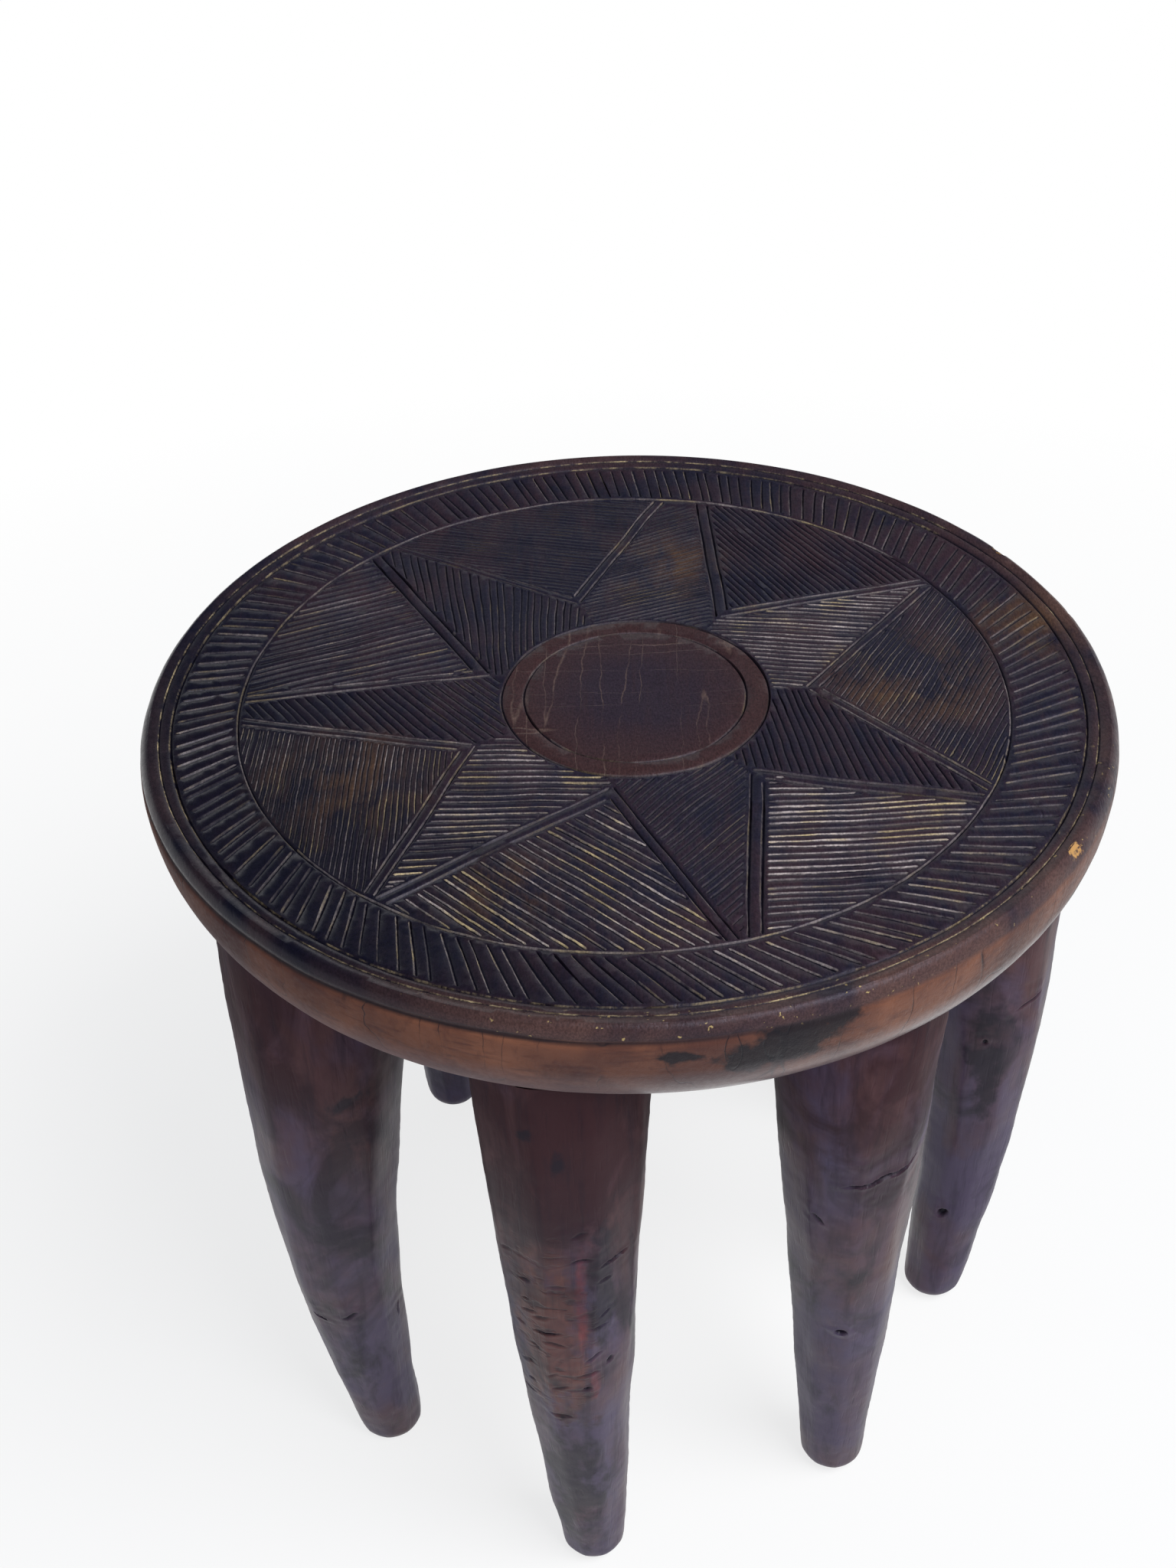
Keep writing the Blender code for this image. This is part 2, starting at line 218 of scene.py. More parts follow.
# How uneven the top, the flank and the underside are, and the width over which the top evens out at its rim
TOP_UNEVENNESS = 0.0005
FLANK_HOLLOWS = 0.00045
FLANK_DENTS = 0.00012
UNDERSIDE_HOLLOWS = 0.0004
EVEN_RIM = 0.02

# How finely cuts, plain places, rim, flank and underside are divided, and the marks left on their points
RULED_STEP = 0.0004
GOUGE_STEP = 0.003
FILL_SPACING = 0.0045
FILL_GAP = 0.001
CREST_GAP = 0.002
RIM_POINTS = 640
ROLL_STEPS = 14
FLANK_STEPS = 16
UNDERSIDE_STEPS = 14
SEAT_MARKS = ("cut", "lit_wall", "dust_and_highlight", "chipped", "stained")

# The lip of each cut that lies this way tops the cut's wall that faces the soft box, which gets pale dust
# and a painted highlight
LIT_WALL_SIDE = Vector((-0.63, 0.78))

hand = random.Random(11)
cut_points = []
cut_edges = []
cut_marks = []
cut_middles = []


def top_height(place):
    """Height of the uncarved top, with the slow unevenness of hand work."""
    radius = place.length
    for (inner, inner_drop), (outer, outer_drop) in zip(TOP_SECTION, TOP_SECTION[1:]):
        if radius <= outer:
            break
    share = min(1, (radius - inner) / (outer - inner))
    drop = inner_drop + (outer_drop - inner_drop) * share
    unevenness = TOP_UNEVENNESS * noise.noise(place.to_3d() * 30)
    return SEAT_TOP - drop - unevenness * min(1, (CREST_RADIUS - radius) / EVEN_RIM)


def add_point(place, drop, down_the_cut, lit_wall_lip, dust_and_highlight):
    cut_points.append((place.x, place.y, top_height(place) - drop))
    cut_marks.append((down_the_cut, lit_wall_lip, dust_and_highlight))
    return len(cut_points) - 1


def carve(path, width, depth, dust_and_highlight, closed=False):
    """Cut a V-shaped groove along a path: two lips, one of them topping the wall that faces the light, with
    the bottom between them.
    """
    rows = []
    last = len(path) - 1
    for i, place in enumerate(path):
        before = path[i - 1] if closed or i else place
        after = path[(i + 1) % len(path)] if closed or i < last else place
        if not closed and i in (0, last):
            rows.append([add_point(place, 0, 0, 0, dust_and_highlight)] * 3)
            continue
        side = (after - before).orthogonal().normalized() * width / 2
        side *= min(1, 0.84 + 0.50 * noise.noise(place.to_3d() * 70))
        lit_wall = 1 if side.dot(LIT_WALL_SIDE) > 0 else 0
        worn = 0.80 + 0.60 * noise.noise(place.to_3d() * 45)
        rows.append(
            [
                add_point(place + side, 0, 0, lit_wall, dust_and_highlight),
                add_point(place, depth * min(1, max(0.35, worn)), 1, 0, dust_and_highlight),
                add_point(place - side, 0, 0, 1 - lit_wall, dust_and_highlight),
            ]
        )
    following_rows = rows[1:] + rows[:1] if closed else rows[1:]
    for row, following in zip(rows, following_rows):
        cut_edges.extend({(a, b) for a, b in zip(row, following)})


def ruled(start, end, step=RULED_STEP):
    """Closely spaced places along a straight line."""
    count = max(2, math.ceil((end - start).length / step))
    return [start.lerp(end, i / count) for i in range(count + 1)]


def by_eye(place, amount, waves=WANDER_WAVES):
    """Where a hand-held gouge goes instead of along the ruled line."""
    spot = place.to_3d() * waves
    return place + amount * Vector((noise.noise(spot), noise.noise(spot + Vector((5, 9, 3)))))


def made_cuts():
    """A tree of the middles of all cuts made so far."""
    tree = kdtree.KDTree(len(cut_middles))
    for i, (place, _) in enumerate(cut_middles):
        tree.insert(place.to_3d(), i)
    tree.balance()
    return tree


def clear_part(places, width, tree):
    """The longest part of a line clear of the cuts already made, drawn out to a point at both ends."""
    room = []
    for place in places:
        _, index, distance = tree.find(place.to_3d())
        room.append(distance - cut_middles[index][1] - CUT_GAP)
    best, start = (0, 0), 0
    for i, free in enumerate(room + [0]):
        if free <= width / 2:
            best = max(best, (start, i), key=lambda part: part[1] - part[0])
            start = i + 1
    first, last = best
    while first > 0 and room[first - 1] > 0:
        first -= 1
    while last < len(places) and room[last] > 0:
        last += 1
    return places[first:last]


def gouge(places, width, depth, dust_and_highlight, step=GOUGE_STEP):
    """Carve along closely spaced places, with a short lead where the gouge goes in and comes out."""
    count = len(places)
    lead = 3
    if count < 4 * lead:
        return
    inner = max(1, round(count * (places[1] - places[0]).length / step))
    picks = [0] + [lead + round((count - 1 - 2 * lead) * i / inner) for i in range(inner + 1)] + [count - 1]
    carve([places[i] for i in picks], width, depth, dust_and_highlight)


def remember(places, width):
    cut_middles.extend((place, width / 2) for place in places)


def facing(bearing):
    """The level direction at a bearing, anticlockwise from +X."""
    return Vector((math.cos(bearing), math.sin(bearing)))


def in_turn(loop):
    """Each item of a loop with the one that follows it."""
    return zip(loop, loop[1:] + loop[:1])


def carve_ring(centre, radius, width, depth, dust_and_highlight, count):
    """One ring, cut by eye round a centre."""
    path = []
    for i in range(count):
        outwards = facing(math.tau * i / count)
        spot = Vector((outwards.x, outwards.y, radius * 40)) * 2.2
        path.append(centre + outwards * (radius + RING_WANDER * noise.noise(spot)))
    carve(path, width, depth, dust_and_highlight, closed=True)
    for place, following in in_turn(path):
        remember(ruled(place, following), width)


def carve_star():
    """The strips along the star's edges. Their cuts meet in a mitre at each valley."""
    tips = zip(STAR_TIPS, STAR_TIPS[1:] + STAR_TIPS[:1], STAR_VALLEYS, STAR_EDGES)
    for (_, near), (far, _), valley, styles in tips:
        for towards_valley_zone in (1, -1):
            lines = []
            for start, other, style in ((near, far, styles[0]), (far, near, styles[1])):
                side = (valley - start).orthogonal().normalized()
                if side.dot(other - start) < 0:
                    side = -side
                shift = side * style[0] / 2 * towards_valley_zone
                lines.append((start + shift, valley + shift, style))
            (a, b, _), (c, d, _) = lines
            mitre = intersect_line_line(a.to_3d(), b.to_3d(), c.to_3d(), d.to_3d())[0].to_2d()
            for start, _, (_, width, depth, dust_and_highlight) in lines:
                outwards = (start - mitre).normalized() * STRIP_OVERSHOOT
                places = [by_eye(place, STRIP_WANDER) for place in ruled(start + outwards, mitre)]
                places = clear_part(places, width, made_cuts())
                gouge(places, width, depth, dust_and_highlight)
                remember(places, width)


def short_way(turn):
    """The same turn, the short way round."""
    return (turn + math.pi) % math.tau - math.pi


def arc(centre, radius, start, end, steps=24):
    """Places on a circle, the short way round from the bearing of one place to that of another."""
    first = math.atan2(start.y - centre.y, start.x - centre.x)
    turn = short_way(math.atan2(end.y - centre.y, end.x - centre.x) - first)
    return [centre + radius * facing(first + turn * i / steps) for i in range(steps + 1)]


def spans(outline, place, along):
    """Where a line through a place crosses an outline, as pairs of distances along the line."""
    normal = along.orthogonal()
    crossings = []
    for a, b in in_turn(outline):
        side_a, side_b = (a - place).dot(normal), (b - place).dot(normal)
        if (side_a < 0) != (side_b < 0):
            crossings.append((a.lerp(b, side_a / (side_a - side_b)) - place).dot(along))
    crossings.sort()
    return list(zip(crossings[::2], crossings[1::2]))


def hatch(outline, first_bearing, last_bearing, pitch, width, depth, dust_and_highlight, tree):
    """Fill one zone of the star with cuts side by side."""
    middle = math.radians((first_bearing + last_bearing) / 2)
    across = Vector((-math.sin(middle), math.cos(middle)))
    centre = sum(outline, Vector((0, 0))) / len(outline)
    reach = [(corner - centre).dot(across) for corner in outline]
    offset = min(reach) + pitch * 0.6
    while offset < max(reach):
        share = (offset - min(reach)) / (max(reach) - min(reach))
        bearing = first_bearing + (last_bearing - first_bearing) * share + hand.uniform(-0.7, 0.7)
        along = facing(math.radians(bearing))
        place = centre + across * offset
        for start, end in spans(outline, place, along):
            early, late = hand.uniform(0, HATCH_SHORTFALL), hand.uniform(0, HATCH_SHORTFALL)
            if end - start < SHORTEST_HATCH:
                continue
            line = ruled(place + along * (start + early), place + along * (end - late))
            line = [by_eye(by_eye(spot, HATCH_WANDER), SHAKE, SHAKE_WAVES) for spot in line]
            cut_width = width * hand.uniform(0.95, 1.30)
            cut_depth = depth * hand.uniform(0.7, 1.1)
            cut_dust_and_highlight = dust_and_highlight * hand.uniform(0.3, 1.5)
            line = clear_part(line, cut_width, tree)
            gouge(line, cut_width, cut_depth, cut_dust_and_highlight)
            remember(line, cut_width)
        offset += pitch * hand.uniform(0.88, 1.12)


def carve_hatching():
    tree = made_cuts()
    count = len(STAR_TIPS)
    for i in range(count):
        valley, last_valley = STAR_VALLEYS[i], STAR_VALLEYS[i - 1]
        arm = [STAR_TIPS[i][0], STAR_TIPS[i][1], valley]
        arm += arc(MEDALLION_CENTRE, MEDALLION_RADIUS, valley, last_valley) + [last_valley]
        hatch(arm, *ARM_HATCHING[i], tree)
        following = STAR_TIPS[(i + 1) % count][0]
        valley_zone = [valley] + arc(FIELD_CENTRE, FIELD_RADIUS, following, STAR_TIPS[i][1])
        hatch(valley_zone, *VALLEY_HATCHING[i], tree)


def carve_ticks():
    """The border's ticks lean more in some places than in others, as the carver went round."""
    tree = made_cuts()
    for sixth, count in enumerate(TICKS_PER_SIXTH):
        for i in range(count):
            turn = (sixth + (i + hand.uniform(-0.12, 0.12)) / count) / 6
            twelfth = int(turn * 12) % 12
            share = turn * 12 % 1
            slant = TICK_SLANTS[twelfth] * (1 - share) + TICK_SLANTS[(twelfth + 1) % 12] * share
            dust_and_highlight = TICK_DUST_AND_HIGHLIGHT[twelfth] * (1 - share) + TICK_DUST_AND_HIGHLIGHT[(twelfth + 1) % 12] * share
            inner, outer = FIELD_RADIUS, BAND_RADIUS
            outwards = facing(math.tau * turn)
            advance = (outer - inner) * math.tan(math.radians(slant + hand.uniform(-2, 2)))
            start = outwards * inner
            end = outwards * outer + Vector((-outwards.y, outwards.x)) * advance
            end *= outer / end.length
            width = TICK_WIDTH * hand.uniform(0.8, 1.2)
            line = [by_eye(place, TICK_WANDER) for place in ruled(start, end)]
            line = clear_part(line, width, tree)
            trim = hand.randrange(0, 3)
            line = line[trim : len(line) - trim]
            gouge(line, width, TICK_DEPTH * hand.uniform(0.8, 1.1), dust_and_highlight * hand.uniform(0.3, 1.6))
            remember(line, width)


def fill_plain_places():
    """Points over the plain parts of the top, so that these can be a little uneven too."""
    tree = made_cuts()
    reach = int(CREST_RADIUS / FILL_SPACING)
    for i in range(-reach, reach + 1):
        for j in range(-reach, reach + 1):
            jitter = Vector((hand.uniform(-0.3, 0.3), hand.uniform(-0.3, 0.3)))
            place = (Vector((i, j)) + jitter) * FILL_SPACING
            if place.length > CREST_RADIUS - CREST_GAP:
                continue
            _, index, distance = tree.find(place.to_3d())
            if distance > cut_middles[index][1] + FILL_GAP:
                add_point(place, 0, 0, 0, 0)


def seat_rings():
    """Radius and height of the rings of points from below the crest to the middle of the underside."""
    rings = []
    widest = SEAT_TOP - ROLL_HEIGHT
    for i in range(1, ROLL_STEPS + 1):
        angle = math.radians(90) * i / ROLL_STEPS
        rise = ROLL_HEIGHT * math.cos(angle)
        rings.append((CREST_RADIUS + (SEAT_RADIUS - CREST_RADIUS) * math.sin(angle), widest + rise))
    for i in range(1, FLANK_STEPS + 1):
        angle = math.radians(90) * i / FLANK_STEPS
        drop = (widest - SEAT_UNDERSIDE) * math.sin(angle)
        rings.append((SEAT_RADIUS - FLANK_INSET * (1 - math.cos(angle)), widest - drop))
    edge = rings[-1][0]
    rings += [(edge * (1 - i / UNDERSIDE_STEPS), SEAT_UNDERSIDE) for i in range(1, UNDERSIDE_STEPS)]
    return rings


# A crease under the rim, cut as the rim was rounded: drop below the crest, half its height, depth, how far
# it wanders, and the bearing in degrees where it is deepest
CREASE_DROP = 0.0068
CREASE_HALF_HEIGHT = 0.0013
CREASE_DEPTH = 0.0010
CREASE_WANDER = 0.0009
CREASE_MIDDLE = 224

# Chips in the rim, where lighter wood shows: bearing in degrees, drop below the crest, size and depth
CHIP_INSET = 0.003
RIM_CHIPS = ((326, 0.0005, 0.0052, 0.0012), (30, 0.002, 0.0050, 0.0030), (14, 0.003, 0.0030, 0.0010))
# Dark stains on the flank: bearing in degrees, height, half their width and half their height
FLANK_STAINS = (
    (286.0, 0.387, 0.017, 0.012),
    (281.0, 0.380, 0.012, 0.008),
    (290.5, 0.394, 0.010, 0.006),
    (274.3, 0.386, 0.009, 0.0030),
    (328, 0.372, 0.010, 0.006),
    (14, 0.374, 0.012, 0.005),
)


def flank_place(bearing, radius, height):
    """A place on the rim or flank, with the marks of time: hollows, chips, and stains round it."""
    outwards = facing(bearing).to_3d()
    place = outwards * radius + Vector((0, 0, height))
    hollow = FLANK_HOLLOWS * (1 + noise.noise(place * 22)) + FLANK_DENTS * (1 + noise.noise(place * 90))
    hollow *= min(1, (height - SEAT_UNDERSIDE) / 0.008)
    reach = 1.6 * math.cos(bearing - math.radians(CREASE_MIDDLE)) - 0.3
    off_crease = SEAT_TOP - CREASE_DROP - height + CREASE_WANDER * noise.noise(outwards * 7)
    creased = min(1, max(0, reach)) * math.exp(-((off_crease / CREASE_HALF_HEIGHT) ** 2))
    hollow += CREASE_DEPTH * creased
    chipped = 0
    for degrees, drop, size, depth in RIM_CHIPS:
        middle = facing(math.radians(degrees)).to_3d() * (SEAT_RADIUS - CHIP_INSET)
        middle.z = SEAT_TOP - drop
        away = (place - middle).length / size
        if away < 1:
            hollow += depth * (1 - away)
            chipped = max(chipped, 1 - away)
    stained = 0
    for degrees, level, half_width, half_height in FLANK_STAINS:
        across = short_way(bearing - math.radians(degrees))
        away = math.hypot(across * SEAT_RADIUS / half_width, (height - level) / half_height)
        stained = max(stained, min(1, max(0, 1.5 - away)))
    return place - outwards * hollow, creased, chipped, stained


def write_marks(mesh, names, marks):
    """Leave named marks on the points of a mesh, for its material to read."""
    for name, values in zip(names, zip(*marks)):
        mesh.attributes.new(name, "FLOAT", "POINT").data.foreach_set("value", values)


def build_seat():
    """The carved top, the rolled rim, the flank and the underside, as one mesh."""
    for ring_cut in RINGS:
        carve_ring(*ring_cut)
    carve_star()
    carve_hatching()
    carve_ticks()
    fill_plain_places()
    rim = len(cut_points)
    bearings = [math.tau * i / RIM_POINTS for i in range(RIM_POINTS)]
    for bearing in bearings:
        add_point(CREST_RADIUS * facing(bearing), 0, 0, 0, 0)
    millimetres = [Vector((x, y)) * 1000 for x, y, _ in cut_points]
    places, _, faces, sources, _, _ = delaunay_2d_cdt(millimetres, cut_edges, [], 0, 0.00001)

    mesh_points = []
    marks = []
    for place, source in zip(places, sources):
        where = place / 1000
        mesh_points.append(cut_points[source[0]] if source else (*where, top_height(where)))
        marks.append((*cut_marks[source[0]], 0, 0) if source else (0, 0, 0, 0, 0))
    point_of = {source: i for i, found in enumerate(sources) for source in found}
    ring = [point_of[rim + i] for i in range(RIM_POINTS)]
    faces = [tuple(face) for face in faces]
    for radius, height in seat_rings():
        following = []
        for bearing in bearings:
            if height > SEAT_UNDERSIDE:
                place, creased, chipped, stained = flank_place(bearing, radius, height)
            else:
                place = Vector((radius * math.cos(bearing), radius * math.sin(bearing), height))
                place.z += UNDERSIDE_HOLLOWS * (1 + noise.noise(place * 35))
                creased, chipped, stained = 0, 0, 0
            following.append(len(mesh_points))
            mesh_points.append(tuple(place))
            marks.append((creased, 0, 0, chipped, stained))
        for i in range(RIM_POINTS):
            j = (i + 1) % RIM_POINTS
            faces.append((ring[i], following[i], following[j], ring[j]))
        ring = following
    middle = len(mesh_points)
    mesh_points.append((0, 0, SEAT_UNDERSIDE))
    marks.append((0, 0, 0, 0, 0))
    faces.extend((ring[i], middle, ring[(i + 1) % RIM_POINTS]) for i in range(RIM_POINTS))

    mesh = bpy.data.meshes.new("carved_seat")
    mesh.from_pydata(mesh_points, [], faces)
    write_marks(mesh, SEAT_MARKS, marks)
    mesh.shade_smooth()
    mesh.set_sharp_from_angle(angle=math.radians(60))
    return mesh


def add_node(tree, kind, inputs=(), **settings):
    """A node with its settings made and its inputs set or linked, given as (socket, value) pairs."""
    node = tree.nodes.new(kind)
    for name, value in settings.items():
        setattr(node, name, value)
    for socket, value in inputs:
        if isinstance(value, bpy.types.NodeSocket):
            tree.links.new(value, node.inputs[socket])
        else:
            node.inputs[socket].default_value = value
    return node


def texture(tree, vector, scale, detail=4, roughness=0.55, distortion=0):
    """Value of a noise texture, from 0 to 1."""
    settings = [("Vector", vector), ("Scale", scale), ("Detail", detail)]
    settings += [("Roughness", roughness), ("Distortion", distortion)]
    return add_node(tree, "ShaderNodeTexNoise", settings).outputs["Fac"]


def stretched(tree, vector, scale):
    """The same places, with each axis scaled."""
    node = add_node(tree, "ShaderNodeMapping", [("Vector", vector), ("Scale", scale)])
    return node.outputs["Vector"]


def spread(tree, value, low, high, to_low=0, to_high=1):
    """The value moved from one range to another, and held within it."""
    settings = [("Value", value), ("From Min", low), ("From Max", high)]
    settings += [("To Min", to_low), ("To Max", to_high)]
    return add_node(tree, "ShaderNodeMapRange", settings).outputs["Result"]


def maths(tree, operation, first, second=0.0, third=0.0):
    settings = [(0, first), (1, second), (2, third)]
    return add_node(tree, "ShaderNodeMath", settings, operation=operation).outputs[0]


def product(tree, first, *others):
    """The first value times all the others."""
    for other in others:
        first = maths(tree, "MULTIPLY", first, other)
    return first


def layered(tree, start, *layers):
    """A start value with layers added to it, each given as its value and weight."""
    for value, weight in layers:
        start = maths(tree, "MULTIPLY_ADD", value, weight, start)
    return start


def blend(tree, share, first, second):
    """A mix of two colours."""
    settings = [("Factor", share), (6, first), (7, second)]
    return add_node(tree, "ShaderNodeMix", settings, data_type="RGBA").outputs[2]


def vector_maths(tree, operation, *vectors):
    """Outputs of a sum with vectors."""
    return add_node(tree, "ShaderNodeVectorMath", enumerate(vectors), operation=operation).outputs


def new_group(name, inputs, outputs):
    """An empty node group with named float or vector inputs and float outputs."""
    group = bpy.data.node_groups.new(name, "ShaderNodeTree")
    for socket, kind in inputs:
        group.interface.new_socket(socket, in_out="INPUT", socket_type=kind)
    for socket in outputs:
        group.interface.new_socket(socket, in_out="OUTPUT", socket_type="NodeSocketFloat")
    source = group.nodes.new("NodeGroupInput")
    target = group.nodes.new("NodeGroupOutput")
    return group, source.outputs, target.inputs


def build_figure_group():
    """Long fibres and short pores, both running along the grain."""
    inputs = [("Along Grain", "NodeSocketVector")]
    group, given, made = new_group("wood_figure", inputs, ["Fibres", "Pores"])
    places = given["Along Grain"]
    group.links.new(texture(group, places, 190, 3, 0.65, 0.3), made["Fibres"])
    group.links.new(spread(group, texture(group, places, 520, 1), 0.60, 0.72), made["Pores"])
    return group


def build_hairline_group():
    """Hairline cracks: wavering lines where a noise, drawn out along the cracks, passes its middle."""
    inputs = [("Places", "NodeSocketVector"), ("Stretch", "NodeSocketVector")]
    inputs += [("Scale", "NodeSocketFloat"), ("Width", "NodeSocketFloat")]
    group, given, made = new_group("hairline_cracks", inputs, ["Cracks"])
    settings = [("Vector", given["Places"]), ("Scale", 55), ("Detail", 3)]
    waver = add_node(group, "ShaderNodeTexNoise", settings).outputs["Color"]
    places = vector_maths(group, "MULTIPLY_ADD", waver, (0.006, 0.006, 0.006), given["Places"])[0]
    shift = (0.0045, 0.0045, 0.0045)
    places = vector_maths(group, "MULTIPLY_ADD", places, given["Stretch"], shift)[0]
    hills = texture(group, places, given["Scale"], 0)
    from_middle = maths(group, "ABSOLUTE", maths(group, "SUBTRACT", hills, 0.5))
    line = maths(group, "SUBTRACT", 1, maths(group, "DIVIDE", from_middle, given["Width"]))
    line = maths(group, "MAXIMUM", line, 0)
    breaks = spread(group, texture(group, given["Places"], 34, 2), 0.38, 0.54)
    group.links.new(product(group, line, breaks), made["Cracks"])
    return group


def hairlines(tree, places, stretch, scale, width):
    settings = [("Places", places), ("Stretch", stretch), ("Scale", scale), ("Width", width)]
    return add_node(tree, "ShaderNodeGroup", settings, node_tree=hairline_cracks).outputs["Cracks"]


wood_figure = build_figure_group()
hairline_cracks = build_hairline_group()

WAX_TINT = (0.80, 0.80, 1.0, 1)
TOP_BLACK = (0.0115, 0.0102, 0.0235, 1)
TOP_MAROON = (0.040, 0.019, 0.025, 1)
TOP_BROWN = (0.105, 0.054, 0.024, 1)
LAND_GREY = (0.082, 0.054, 0.056, 1)
PALE_DUST_AND_HIGHLIGHT = (0.50, 0.43, 0.42, 1)
DUST_YELLOW = (0.56, 0.44, 0.25, 1)
DISC_DARK = (0.029, 0.018, 0.029, 1)
DISC_RED = (0.051, 0.023, 0.023, 1)
HAIRLINE_PALE = (0.17, 0.11, 0.09, 1)
FLANK_ORANGE = (0.178, 0.070, 0.038, 1)
FLANK_BROWN = (0.050, 0.018, 0.015, 1)
FLANK_PAINTED_SHEEN = (0.165, 0.125, 0.132, 1)
FLECK_YELLOW = (0.42, 0.31, 0.13, 1)
STAIN_BLUE_BLACK = (0.006, 0.006, 0.008, 1)
RIM_BROWN = (0.105, 0.055, 0.046, 1)
FRESH_WOOD = (0.44, 0.24, 0.08, 1)
PAINTED_SHADE_BLACK = (0.0025, 0.0022, 0.0085, 1)
PORE_BLACK = (0, 0, 0, 1)
BUMP_DEPTH = 0.001
BUMP_STRENGTH = 0.5

# Places where the black stain has worn through to brown wood: their middle and reach
BROWN_PATCHES = (
    ((-0.118, -0.062), 0.045),
    ((-0.050, -0.132), 0.030),
    ((0.020, 0.105), 0.035),
    ((0.125, 0.005), 0.045),
    ((0.185, 0.045), 0.035),
)
# The side towards the soft box, where hands and feet have worn the stain off and where rim and flank
# are also painted lighter as if lit, and the front left side, darkened with painted shade
WORN_AND_LIT_SIDE = Vector((0.50, -0.86, 0))
SHADED_SIDE = Vector((-0.86, -0.50, 0))


def distance_from(tree, places, middle):
    """Level distance of a place from the upright line through a middle."""
    level = vector_maths(tree, "MULTIPLY_ADD", places, (1, 1, 0), (-middle[0], -middle[1], 0))[0]
    return vector_maths(tree, "LENGTH", level)["Value"]


def towards(tree, places, side):
    """How far a place lies towards one side of the seat: 1 at the rim there, -1 at the rim opposite."""
    return vector_maths(tree, "DOT_PRODUCT", places, side / SEAT_RADIUS)["Value"]


def new_material(name):
    """A material with its nodes, its shader, and the places on the piece that wears it."""
    material = bpy.data.materials.new(name)
    material.use_nodes = True
    tree = material.node_tree
    places = add_node(tree, "ShaderNodeTexCoord").outputs["Object"]
    return material, tree, tree.nodes["Principled BSDF"], places


def read_marks(tree, names):
    """The marks that were left on the points of the mesh."""
    nodes = [add_node(tree, "ShaderNodeAttribute", attribute_name=name) for name in names]
    return [node.outputs["Fac"] for node in nodes]


def figured(tree, places, grain):
    """Fibres and pores of the wood, with the places drawn out along the grain."""
    settings = [("Along Grain", stretched(tree, places, grain))]
    figure = add_node(tree, "ShaderNodeGroup", settings, node_tree=wood_figure).outputs
    return figure["Fibres"], figure["Pores"]


def dress(tree, shader, colour, rough, polish, height):
    """Give the shader what changes over the surface."""
    settings = [("Height", height), ("Distance", BUMP_DEPTH), ("Strength", BUMP_STRENGTH)]
    bump = add_node(tree, "ShaderNodeBump", settings).outputs["Normal"]
    changing = (("Base Color", colour), ("Roughness", rough), ("Coat Weight", polish), ("Normal", bump))
    for socket, value in changing:
        tree.links.new(value, shader.inputs[socket])


